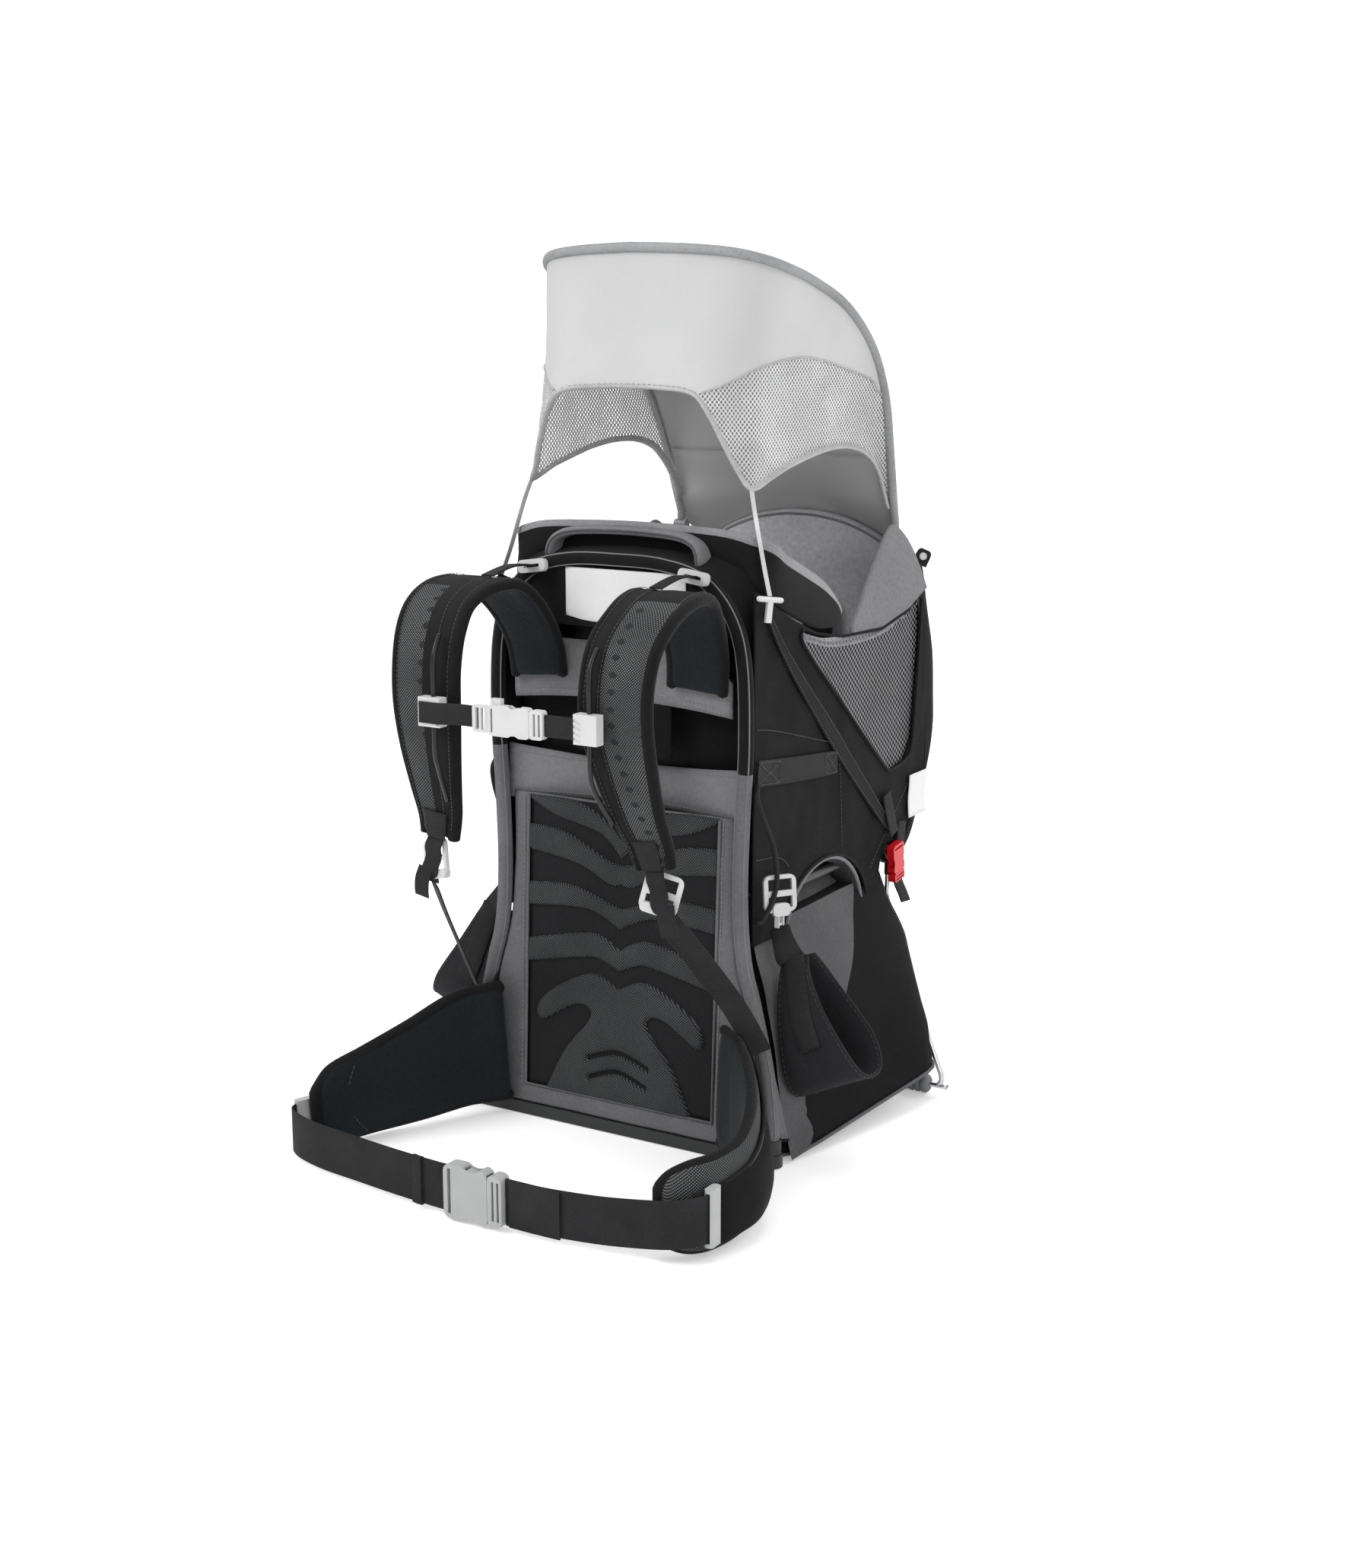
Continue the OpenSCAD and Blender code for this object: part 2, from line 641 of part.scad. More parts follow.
// a ribbed rubber foot with a domed outer end, about the Z axis
module rubber_foot() {
    rib = foot_len / 9;
    rotate_extrude($fn = 48) difference() {
        polygon(concat(
            [[rod_r + 0.2, 0]],
            [[foot_r - 3.5, 0], [foot_r - 1, 2]],
            [for (i = [0:3]) let (z = 2 + i * 2 * rib)
                each [[foot_r - 1, z + rib * 0.2], [foot_r, z + rib * 0.5],
                      [foot_r, z + rib * 1.3], [foot_r - 1, z + rib * 1.6]]],
            [for (a = [20:17.5:90])
                [rod_r + 0.6 + (foot_r - rod_r - 0.6) * cos(a), foot_len - 6 + 6 * sin(a)]],
            [[rod_r + 0.2, foot_len]]
        ));
    }
}

module kickstand_feet() {
    color("#6b6e70") both_sides() translate([foot_x - 14 - foot_len, foot_y, foot_r]) rotate([0, 90, 0])
        rubber_foot();
}

// ---- sunshade ----

hoop_path = spline(whole([
    [hoop_x, hoop_y, hoop_z + 10.2], [hoop_x, hoop_y, hoop_z + 17], [hoop_x + 1, hoop_y - 6, hoop_z + 34],
    [150, 347, 735], [156, 320, 800], [161, 275, 856], [162, 210, 900], [155, 150, 925], [148, 106, 938],
    [134, 76, 947], [108, 51, hoop_top - 6], [60, 37, hoop_top - 2], [0, 33, hoop_top]
]), 2);

module sunshade_hoop() {
    color("#9a9c9e") tube(hoop_path, hoop_r, [0.02, 0.5, -0.85], 8);
}

module sunshade_knuckles() {
    color("#d5d7d8") both_sides() translate([hoop_x, hoop_y, hoop_z]) {
        rotate([0, 90, 0]) difference() {
            cylinder(r = 6, h = 8, center = true, $fn = 32);
            cylinder(r = pin_r + pin_gap, h = 10, center = true, $fn = 32);
        }
        translate([0, 0, 5]) cylinder(r = 3.9, h = 2, $fn = 32);
        translate([0, 0, 6.3]) difference() {
            cylinder(r = 5, h = 9, $fn = 32);
            translate([0, 0, 3]) cylinder(r = hoop_r + 0.4, h = 8, $fn = 32);
        }
    }
}

module sunshade_pins() {
    color("#b9bcbf") both_sides() translate([hoop_x, hoop_y, hoop_z]) rotate([0, 90, 0])
        cylinder(r = pin_r, h = 16, center = true, $fn = 32);
}

module sunshade_sockets() {
    low = side_top + 9;
    window_x = side_x - cloth_t - seat_gap - mesh_cloth_t;
    color("#2f3133") both_sides() translate([hoop_x, hoop_y, 0]) {
        for (x = [-8, 4.3]) difference() {
            union() {
                translate([x, -6, low + 10]) cube([3.7, 12, hoop_z - low - 10]);
                translate([x, 0, hoop_z]) rotate([0, 90, 0]) cylinder(r = 6, h = 3.7, $fn = 32);
            }
            translate([x - 1, 0, hoop_z]) rotate([0, 90, 0]) cylinder(r = pin_r, h = 6, $fn = 32);
        }
        translate([-8, -6, low]) cube([16, 12, 10.01]);
        translate([4.3, -6, low - 55]) cube([window_x - seat_gap - hoop_x - 4.3, 12, 64]);
    }
}

// pairs of points on the right half: where the skirt leaves the hoop and where it ends
skirt_pairs = [
    [[143, 363, 680], [141, 362, 673]], [[148, 347, 731], [141, 338, 712]], [[154, 321, 794], [141, 306, 737]],
    [[158, 288, 838], [141, 267, 748]], [[159, 245, 875], [141, 225, 750]], [[158, 198, 900], [141, 180, 746]],
    [[152, 155, 918], [141, 140, 739]], [[147, 118, 929], [140, 95, 729]], [[137, 88, 938], [138, 50, 716]],
    [[118, 64, hoop_top - 12], [118, 58, 722]], [[100, 55, hoop_top - 9], [103, 62, 735]],
    [[80, 49, hoop_top - 8], [84, 66, 764]], [[55, 43, hoop_top - 7], [61, 70, 800]],
    [[28, 40, hoop_top - 6], [30, 71, 814]], [[0, 39, hoop_top - 6], [0, 72, 818]]
];

function skirt_row(v, inset) = let (half = [for (p = skirt_pairs)
    let (q = p[0] + (p[1] - p[0]) * v + [0, -8 * sin(180 * v) * (p[0][0] < 120 ? 1 : 0.2), 0])
        q - (inset + 1.4 * (1 - v)) * unit([q[0] / 1.6, min(q[1] - 170, 0), 0])]) whole(half);

roof_rows = [for (k = [5:len(hoop_path) / 2 - 1])
    let (p = hoop_path[k], q = p + (hoop_r + 1.1) * unit([-p[0], 200 - p[1], 760 - p[2]]))
        [for (s = [1:-0.25:-1]) [s * q[0], q[1] + (1 - s * s) * 6, q[2]]]];

module sunshade_canopy() {
    cuts = [0, 0.33, 0.67, 1];
    color("#d9dbdb") {
        sheet([for (v = cuts) skirt_row(v, shade_t)], [for (v = cuts) skirt_row(v, 0)]);
        sheet([for (r = roof_rows) [for (p = r) p + shade_t * unit([0, 200 - p[1], 760 - p[2]])]], roof_rows);
    }
}

module sunshade_straps() {
    color("#e6e8e8") both_sides() strip(spline([
        [139, 47, 713.5, 8], [146, 42, 690, 8], [160, 36, 640, 8], [170.2, 31, 608.7, 8]
    ], 2), [1, 0.6, 0], 1.4);
}

// the T-shaped toggles that hold the sunshade's straps down
module sunshade_toggles() {
    color("#eceeee") both_sides() translate([side_x + 7.6, 31, 605]) rotate([0, 8, 75]) {
        rotate([0, 90, 0]) cylinder(r = 3, h = 32, center = true, $fn = 24);
        for (x = [-16, 16]) translate([x, 0, 0]) sphere(3, $fn = 16);
        translate([-4, -1.5, -24]) cube([8, 3, 24]);
    }
}

// ---- shoulder harness ----

yoke_front = board_y - seat_gap - 4;
yoke_z0 = 476;
yoke_h = 74;

module shoulder_yoke() {
    color("#5a5c5e") translate([0, yoke_front + 4, yoke_z0]) rotate([90, 0, 0]) linear_extrude(4)
        polygon([[-136, 4], [0, 12], [136, 4], [140, 34], [100, yoke_h], [-100, yoke_h], [-140, 34]]);
}

// centre line of the right shoulder pad, with its width
pad_path = spline([
    [100, yoke_front - 7, 508, 70], [103, yoke_front - 12, 545, 72], [108, -26, 585, pad_w - 4],
    [115, -62, 613, pad_w + 4], [121, -104, 615, pad_w + 4], [122, -140, 601, pad_w],
    [118, -164, 575, pad_w], [116, -175, 540, pad_w - 1], [116, -176, 500, pad_w - 2],
    [120, -167, 455, pad_w - 10], [125, -153, 410, pad_w - 22], [131, -139, 376, pad_w - 32],
    [135, -134, 352, pad_w - 38]
], 2);

module shoulder_pad() {
    color("#2c2e30") strip(pad_path, [1, 0, 0], pad_t, pad_outline);
}

rail_x = 95;
rail_y = -191;

// the rails are sewn to the pads at both ends and run straight where the chest strap slides
function off_pad(i, gap) =
    let (q = place(pad_path[i]) + (pad_t / 2 + rail_r + gap) * cross(along(pad_path, i), [1, 0, 0]))
        [rail_x, q[1], q[2]];

rail_path = [
    off_pad(11, seat_gap), off_pad(12, 5),
    for (z = [44, 31, 0, -31, -44]) [rail_x, rail_y, chest_z + z],
    off_pad(19, 5), off_pad(20, seat_gap)
];

module strap_rails() {
    color("#1a1b1c") both_sides() tube(spline(rail_path, 2), rail_r, [1, 0, 0], 8);
}

// a webbing slider: a frame of width w and height h with bars across it, lying in X and Y
module slider_frame(w, h, t, bar) {
    linear_extrude(t) difference() {
        rounded_rect(w, h, min(w, h) / 5);
        for (y = [-1, 1]) translate([0, y * (h / 4 - bar / 8)])
            square([w - 2 * bar, h / 2 - 1.5 * bar], center = true);
    }
}

lock_w = web_w + 18;

module at_shoulder_lock() {
    translate([141, -134, 326]) rotate([84, 14, 16]) children();
}

module shoulder_ladder_locks() {
    color("#e2e4e4") both_sides() at_shoulder_lock() {
        translate([0, 0, -2]) slider_frame(lock_w, 42, 4, 5);
        translate([-lock_w / 2 + 2, -26, -4]) difference() {
            linear_extrude(7) hull() {
                translate([5, 9]) circle(5, $fn = 24);
                translate([lock_w - 9, 9]) circle(5, $fn = 24);
            }
            translate([4, 5, -1]) cube([lock_w - 12, 8, 5]);
        }
    }
}

// webbing that runs from the pads to the frame, and changes length with the harness
module harness_webbing() {
    color("#1f2021") both_sides() {
        strip(spline([[146, -133, 299.3, web_w], [158, -100, 258, web_w], [174, -46, 190, web_w],
                      [182, -3.4, 128, web_w]], 2), [1, 0, 0.35], web_t);
        strip(spline([[104, -84, 624.6, 16], [103, -45, 631, 16], [101, -11, 629, 16]], 2), [1, 0, 0], web_t);
    }
}

module strap_buckles() {
    color("#e2e4e4") both_sides() {
        translate([101, frame_y - tube_r - seat_gap - 0.6, 627]) rotate([82, 8, 0])
            linear_extrude(6) difference() {
                rounded_rect(36, 14, 5);
                square([20, 3.5], center = true);
            }
        at_stirrup_buckle() {
            translate([0, 0, 0]) slider_frame(web_w + 16, 40, 4, 5);
            translate([0, -17, 1.5]) linear_extrude(5) rounded_rect(20, 14, 5);
        }
        stirrup_hanger();
    }
}

// ---- chest strap ----

// a side-release buckle's socket along +X, open at x = l; w across Y, h across Z
module buckle_socket(l, w, h, wall) {
    waist = w * 0.07;
    difference() {
        linear_extrude(h, center = true) difference() {
            rounded_rect_from(0, l, w, w / 7);
            for (y = [-1, 1]) translate([l * 0.62, y * (w / 2 + w * 0.32 - waist)])
                circle(w * 0.32, $fn = 48);
            translate([wall + 1, -w / 2 + wall + 1]) square([wall, w - 2 * wall - 2]);
        }
        translate([l * 0.34, -w / 2 + wall, -h / 2 + wall / 2]) cube([l, w - 2 * wall, h - wall]);
        for (y = [-1, 1]) translate([l * 0.62, y * w / 2, 0])
            cube([l * 0.34, 2 * wall + w * 0.16, h - wall], center = true);
    }
}

module rounded_rect_from(x, l, w, r) {
    translate([x + l / 2, 0]) rounded_rect(l, w, r);
}

// the plug of the same buckle: its bar lies beyond x = l and its tongue reaches into the socket
module buckle_plug(l, w, h, wall) {
    tongue_w = w - 2 * wall - 2 * slide_gap;
    tongue_h = h - wall - 2 * slide_gap;
    arm = w * 0.13;
    bar_l = l * 0.32;
    linear_extrude(tongue_h, center = true) {
        for (y = [-1, 1]) hull() {
            translate([l * 0.5, y * (tongue_w / 2 - arm / 2)]) circle(arm / 2, $fn = 24);
            translate([l + 1, y * (tongue_w / 2 - w * 0.09 - arm / 2)]) circle(arm / 2, $fn = 24);
        }
        translate([l * 0.44, -w * 0.06]) square([l * 0.6, w * 0.12]);
    }
    translate([l + slide_gap, 0, 0]) linear_extrude(h, center = true) difference() {
        rounded_rect_from(0, bar_l, w * 0.94, w / 9);
        for (k = [0.3, 0.66]) translate([bar_l * k, -w * 0.36]) square([bar_l * 0.16, w * 0.72]);
    }
}

chest_l = 50;
chest_w = 31;
chest_h = 9;
chest_x = -19;
chest_y = rail_y - 8;

module chest_socket() {
    color("#e6e8e8") translate([chest_x, chest_y, chest_z]) {
        rotate([90, 0, 0]) buckle_socket(chest_l, chest_w, chest_h, 2.6);
        translate([2, -1, chest_w / 2 - 3]) cube([12, 6, 9]);
        translate([-10, 0, 0]) rotate([90, 0, 0]) linear_extrude(4, center = true) difference() {
            rounded_rect(21, chest_w - 3, 4);
            for (x = [-4.5, 2.5]) translate([x, 0]) square([4, web_w], center = true);
        }
    }
}

module chest_plug() {
    color("#e6e8e8") translate([chest_x, chest_y, chest_z]) rotate([90, 0, 0])
        buckle_plug(chest_l, chest_w, chest_h, 2.6);
}

module chest_strap() {
    on_clip = rail_y - 9 - seat_gap - web_t / 2;
    behind = chest_y + 2 + seat_gap + web_t / 2;
    color("#222325") strip([[-rail_x - 10, on_clip, chest_z, web_w], [14 - rail_x, on_clip, chest_z, web_w],
        [26 - rail_x, behind, chest_z, web_w], [chest_x - 14, behind, chest_z, web_w]], [0, 0, 1], web_t);
}

module chest_plug_webbing() {
    x = chest_x + chest_l * 1.32 + slide_gap;
    color("#222325") strip([[x + seat_gap, chest_y, chest_z, web_w], [x + 14, chest_y, chest_z, web_w],
        [rail_x - 13.5 - seat_gap, chest_y, chest_z, web_w]], [0, 0, 1], 3);
}

// clips that slide on the rails, with a row of teeth slots
module chest_rail_clips() {
    color("#eceeee") {
        for (x = [-1, 1]) translate([x * rail_x, rail_y, chest_z]) difference() {
            translate([-13.5, -9, -15]) cube([27, 12.5, 30]);
            cylinder(r = rail_r + 0.5, h = 40, center = true, $fn = 32);
            for (z = [-9:6:9]) translate([-x * 9, -10, z - 1.5]) rotate([0, 20, 0])
                cube([9, 4, 3], center = true);
        }
    }
}

// ---- hip belt ----

hip_l = 54;
hip_w = 58;
hip_h = 15;
hip_x = -22;
hip_z = 31;
hip_bar = hip_l * 1.32 + slide_gap;

wing_right_path = spline([
    [142, -13.3, 86, wing_root_h], [176, -38, 82, wing_root_h - 2], [213, -80, 71, wing_root_h - 12],
    [240, -125, 60, wing_root_h - 26], [252, -168, 53, wing_tip_h + 4], [247, -212, 50, wing_tip_h],
    [232, -240, 50, wing_tip_h - 14], [224, -250, 50, wing_tip_h - 44]
], 2);
wing_left_path = spline([
    [-142, -12.2, 86, wing_root_h], [-172, -46, 82, wing_root_h - 3], [-199, -98, 68, wing_root_h - 20],
    [-224, -152, 57, wing_tip_h + 6], [-241, -194, 50, wing_tip_h - 8], [-248, -216, 48, wing_tip_h - 44]
], 2);

module hip_wing_left() {
    color("#1e2226") strip(wing_left_path, [0, 0, 1], wing_t, pad_outline);
}

module hip_wing_right() {
    color("#1e2226") strip(wing_right_path, [0, 0, 1], wing_t, pad_outline);
}

// a path moved sideways by d, level, to the right of its direction
function beside(P, d) = [for (i = [0:len(P) - 1]) P[i] + concat(d * unit(cross(along(P, i), [0, 0, 1])), [0])];

wing_face = wing_t / 2 + seat_gap + web_t / 2;

function on_wing(P, z) = [for (p = beside(P, wing_face)) [p[0], p[1], z, belt_w]];

adjuster_l = 20;
left_sewn = on_wing(wing_left_path, hip_z);
left_dir = unit([for (k = [0, 1]) along(wing_left_path, len(wing_left_path) - 1)[k]]);
left_end = left_sewn[len(left_sewn) - 1];
left_belt_path = spline(concat([for (i = [5:10]) left_sewn[i]], [
    for (d = [adjuster_l * 0.55, adjuster_l + 3]) left_end + concat(d * left_dir, [0, 0])
], [
    [-258, -244, hip_z, belt_w], [-238, -254, hip_z, belt_w], [-200, -264, hip_z, belt_w],
    [-150, -270, hip_z, belt_w], [-90, 4 - belt_y, hip_z, belt_w], [hip_x - 12, -belt_y, hip_z, belt_w],
    [hip_x - seat_gap, -belt_y, hip_z, belt_w]
]), 2);

right_sewn = on_wing(reversed(wing_right_path), hip_z + 14);
right_belt_path = spline(concat([
    [hip_x + hip_bar + 0.6, -belt_y, hip_z, belt_w], [68, -belt_y, hip_z, belt_w],
    [100, 1 - belt_y, hip_z, belt_w], [150, -278, hip_z + 3, belt_w], [190, -273, hip_z + 6, belt_w],
    [230, -265, hip_z + 10, belt_w], [252, -252, hip_z + 13, belt_w], [259.6, -238, hip_z + 14, belt_w],
    [259.4, -226, hip_z + 14, belt_w]
], [for (i = [4:7]) right_sewn[i]]), 2);

module hip_belt_left() {
    color("#212224") strip(left_belt_path, [0, 0, 1], web_t);
}

module hip_belt_right() {
    color("#212224") strip(right_belt_path, [0, 0, 1], web_t);
}

// sliders on the tips of the hip belt, where the webbing doubles back
module hip_adjusters() {
    c = left_end + concat(adjuster_l * 0.55 * left_dir, [0, 0]);
    color("#dcdede") {
        translate([c[0], c[1], c[2] - belt_w / 2 - 4.5]) rotate([0, 0, atan2(left_dir[1], left_dir[0])])
            adjuster();
        translate([259.5, -232, hip_z + 14 - belt_w / 2 - 4.5]) rotate([0, 0, 90]) adjuster();
    }
}

// an upright sleeve with the webbing's slot along X
module adjuster() {
    difference() {
        linear_extrude(belt_w + 9) rounded_rect(adjuster_l, 9.6, 4);
        translate([-adjuster_l / 2 - 1, -2.5, 4]) cube([adjuster_l + 2, 5, belt_w + 1.4]);
    }
}

module hip_socket() {
    color("#b4b7b8") translate([hip_x, -belt_y, hip_z]) rotate([90, 0, 0])
        buckle_socket(hip_l, hip_w, hip_h, 4);
}

module hip_plug() {
    color("#b4b7b8") translate([hip_x, -belt_y, hip_z]) rotate([90, 0, 0])
        buckle_plug(hip_l, hip_w, hip_h, 4);
}

// ---- side buckles ----

side_l = 34;
side_w = 27;
side_h = 9;

module at_side_buckle() {
    translate([side_x + 8.2, 338, 283]) rotate([0, 90, 0]) rotate([0, 0, 8]) children();
}

module side_buckle_sockets() {
    color("#c9141d") both_sides() at_side_buckle() buckle_socket(side_l, side_w, side_h, 2.4);
}

module side_buckle_plug() {
    color("#c9141d") at_side_buckle() buckle_plug(side_l, side_w, side_h, 2.4);
}

// ---- stirrups ----

module at_stirrup_buckle() {
    translate([side_x + 12.4, 47, 290]) rotate([84, 0, 55]) children();
}

stirrup_x = side_x + 11;
stirrup_y = 46;
stirrup_z = 270;

// the fork and pin under the slider, and the eye that the stirrup hangs from
hanger_pin_r = 1.8;
eye_r = 4;
eye_w = 8;

module at_stirrup_pin() {
    translate([stirrup_x + 3, stirrup_y, stirrup_z - 14]) children();
}

module stirrup_hanger() {
    arm_t = 2;
    arm_y = eye_w / 2 + seat_gap;
    at_stirrup_pin() {
        rotate([90, 0, 0]) cylinder(r = hanger_pin_r, h = 2 * (arm_y + arm_t), center = true, $fn = 24);
        for (y = [-arm_y - arm_t, arm_y]) translate([-2.5, y, -2.5]) cube([5, arm_t, 16]);
        translate([-5, -arm_y - arm_t, 10]) cube([8, 2 * (arm_y + arm_t), 5]);
    }
}

module stirrup_eye() {
    at_stirrup_pin() rotate([90, 0, 0]) difference() {
        cylinder(r = eye_r, h = eye_w, center = true, $fn = 32);
        cylinder(r = hanger_pin_r + pin_gap, h = eye_w + 2, center = true, $fn = 32);
    }
}

module stirrup() {
    color("#303234") {
        stirrup_eye();
        strip(spline([[stirrup_x + 3.3, stirrup_y, stirrup_z - 17, web_w], [184, 41, 242, web_w + 2],
                      [193, 38, 226, web_w + 8], [196, 44, 219, web_w + 10]], 2), [1, -0.4, 0.2], 3);
        skin([let (P = spline([[196, 48, 222, 34], [202, 36, 200, 42], [215, 28, 160, 62], [232, 27, 118, 84],
                               [242, 38, 92, 94], [246, 58, 86, 96], [244, 76, 96, 94], [234, 84, 124, 84],
                               [217, 78, 165, 62], [204, 68, 202, 42], [198, 58, 221, 34]], 2))
            for (i = [0:len(P) - 1])
                cut_ring(place(P[i]), along(P, i), [1, 0, 0.45], P[i][3], 3, flat_outline)]);
    }
}

// ---- drawing ----

frame_tube();
base_bar();
seat_frame();
back_mesh();
back_foam();
back_border();
wide_band();
torso_board();
top_panel();
front_wall();
blank_patches();
haul_handle();
drool_pad();
seat_wrap();
seat_saddle();
child_harness();
mirror([1, 0, 0]) side_panel();  // side_panel_left
side_panel();  // side_panel_right
both_sides() mesh_window();  // mesh_windows
rear_shell();
rear_tabs();
lower_bag();
side_bands();
elastic_loops();
strap_buckles();
kickstand_brackets();
kickstand_pins();
kickstand_rod();
kickstand_knuckles();
kickstand_feet();
sunshade_sockets();
sunshade_pins();
sunshade_hoop();
sunshade_knuckles();
sunshade_canopy();
sunshade_straps();
sunshade_toggles();
shoulder_yoke();
mirror([1, 0, 0]) shoulder_pad();  // shoulder_pad_left
shoulder_pad();  // shoulder_pad_right
strap_rails();
shoulder_ladder_locks();
harness_webbing();
chest_strap();
chest_rail_clips();
chest_socket();
chest_plug();
chest_plug_webbing();
hip_wing_left();
hip_wing_right();
hip_belt_left();
hip_belt_right();
hip_adjusters();
hip_socket();
hip_plug();
side_buckle_sockets();
mirror([1, 0, 0]) side_buckle_plug();  // side_buckle_plug_left
side_buckle_plug();  // side_buckle_plug_right
mirror([1, 0, 0]) stirrup();  // stirrup_left
stirrup();  // stirrup_right
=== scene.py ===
import math

import bpy
import numpy as np
from bpy.props import FloatProperty, FloatVectorProperty, PointerProperty
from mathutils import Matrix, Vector, noise
from mathutils.geometry import delaunay_2d_cdt


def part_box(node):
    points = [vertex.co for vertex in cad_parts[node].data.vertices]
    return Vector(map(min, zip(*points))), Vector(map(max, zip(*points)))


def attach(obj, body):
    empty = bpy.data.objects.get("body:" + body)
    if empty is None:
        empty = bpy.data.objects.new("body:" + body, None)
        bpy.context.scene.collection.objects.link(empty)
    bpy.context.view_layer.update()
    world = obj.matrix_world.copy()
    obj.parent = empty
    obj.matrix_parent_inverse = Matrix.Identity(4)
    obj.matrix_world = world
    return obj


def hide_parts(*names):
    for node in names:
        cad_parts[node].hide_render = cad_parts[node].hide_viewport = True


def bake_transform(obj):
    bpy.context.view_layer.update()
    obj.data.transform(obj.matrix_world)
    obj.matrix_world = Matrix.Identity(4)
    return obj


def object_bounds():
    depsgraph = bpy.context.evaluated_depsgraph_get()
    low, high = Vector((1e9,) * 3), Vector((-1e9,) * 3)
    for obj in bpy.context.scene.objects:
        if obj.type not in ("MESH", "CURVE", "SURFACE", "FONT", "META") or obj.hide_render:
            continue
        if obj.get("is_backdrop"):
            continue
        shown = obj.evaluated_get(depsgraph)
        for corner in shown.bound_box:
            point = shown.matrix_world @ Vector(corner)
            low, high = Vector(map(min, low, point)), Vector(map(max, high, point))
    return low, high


bl_info = {
    "name": "Child Carrier Backpack",
    "version": (1, 0, 0),
    "blender": (4, 5, 0),
    "location": "View3D > Sidebar > Carrier",
    "description": "Dresses the frame of a child carrier backpack in its fabrics, pads and webbing",
    "category": "Object",
}

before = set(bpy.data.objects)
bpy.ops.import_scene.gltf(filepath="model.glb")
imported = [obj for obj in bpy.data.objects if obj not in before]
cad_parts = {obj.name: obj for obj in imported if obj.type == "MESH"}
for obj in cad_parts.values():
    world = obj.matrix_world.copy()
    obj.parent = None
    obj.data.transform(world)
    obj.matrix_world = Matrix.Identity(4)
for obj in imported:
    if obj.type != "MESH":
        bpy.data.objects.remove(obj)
frame_box = [list(corner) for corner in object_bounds()]
MM = 0.001
UP = Vector((0, 0, 1))
SIDES = ((1, "right"), (-1, "left"))


# ---- places, in millimetres ----

def low(node):
    """The corner of a solid's box with the least x, y and z."""
    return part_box(node)[0] / MM


def high(node):
    """The corner of a solid's box with the greatest x, y and z."""
    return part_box(node)[1] / MM


def shares(count):
    """Even steps from 0 to 1, both ends among them."""
    return np.linspace(0, 1, count)


def smooth(points, steps=6):
    """A smooth curve through points that may carry more numbers than their place."""
    curve, last = [], len(points) - 1
    for i in range(last):
        near = [points[max(i - 1, 0)], points[i], points[i + 1], points[min(i + 2, last)]]
        for k in range(steps):
            t = k / steps
            curve.append(tuple(
                b + t * (c - a) / 2 + t * t * (a - 2.5 * b + 2 * c - d / 2)
                + t ** 3 * (1.5 * (b - c) + (d - a) / 2) for a, b, c, d in zip(*near)))
    return curve + [tuple(points[-1])]


def mirrored(points):
    """The same points on the other side of the middle plane."""
    return [(-p[0], *p[1:]) if isinstance(p, tuple) else Vector((-p.x, p.y, p.z)) for p in points]


def whole(points):
    """A right half that ends on the middle plane, and its mirror image after it."""
    return points + mirrored(points[:-1])[::-1]


def reach(points):
    """How far along a path each of its points lies."""
    far = [0.0]
    for a, b in zip(points, points[1:]):
        far.append(far[-1] + (Vector(b[:3]) - Vector(a[:3])).length)
    return far


class Track:
    """The places along a path, with the ways along it, across it and off its face at each."""

    def __init__(self, path, side):
        self.path = path
        self.at = [Vector(p[:3]) for p in path]
        last = len(path) - 1
        self.along = [(self.at[min(i + 1, last)] - self.at[max(i - 1, 0)]).normalized()
                      for i in range(last + 1)]
        side = Vector(side)
        self.across = [(side - t * side.dot(t)).normalized() for t in self.along]
        self.off = [t.cross(a) for t, a in zip(self.along, self.across)]
        self.far = reach(path)

    def point(self, i, across, off):
        return self.at[i] + self.across[i] * across + self.off[i] * off

    def line(self, across, off, first=0, last=None):
        """A line beside the path; across and off are numbers or functions of the path's point."""
        value = lambda v, i: v(self.path[i]) if callable(v) else v
        return [self.point(i, value(across, i), value(off, i))
                for i in range(first, len(self.at) if last is None else last)]


# ---- meshes ----

def made(name, points, faces, cloth=None):
    """A mesh object from points in millimetres; cloth gives each point its place on the flat cloth."""
    mesh = bpy.data.meshes.new(name)
    mesh.from_pydata([Vector(p) * MM for p in points], [], faces)
    if cloth is not None:
        layer = mesh.uv_layers.new(name="Cloth")
        for loop in mesh.loops:
            layer.data[loop.index].uv = cloth[loop.vertex_index]
    mesh.shade_smooth()
    thing = bpy.data.objects.new(name, mesh)
    bpy.context.scene.collection.objects.link(thing)
    return thing


def woven(name, rows, ring=False, ends=False):
    """Cloth through rows of points; ring joins each row's ends, and ends closes the first and last."""
    wide, points = len(rows[0]), [p for row in rows for p in row]
    span = range(wide if ring else wide - 1)
    faces = [(i * wide + j, i * wide + (j + 1) % wide, (i + 1) * wide + (j + 1) % wide, (i + 1) * wide + j)
             for i in range(len(rows) - 1) for j in span]
    middle = reach([row[wide // 2] for row in rows])
    cloth = []
    for row, v in zip(rows, middle):
        u = reach(row)
        cloth += [(x - u[-1] / 2, v) for x in u]
    if ends:
        faces.append(tuple(range(wide))[::-1])
        faces.append(tuple(range((len(rows) - 1) * wide, len(rows) * wide)))
    return made(name, points, faces, cloth)


def cut_size(rows):
    """How wide and how long the cloth is cut for rows of points, in metres."""
    return (float(np.mean([reach(row)[-1] for row in rows])) * MM,
            float(np.mean([reach(line)[-1] for line in zip(*rows)])) * MM)


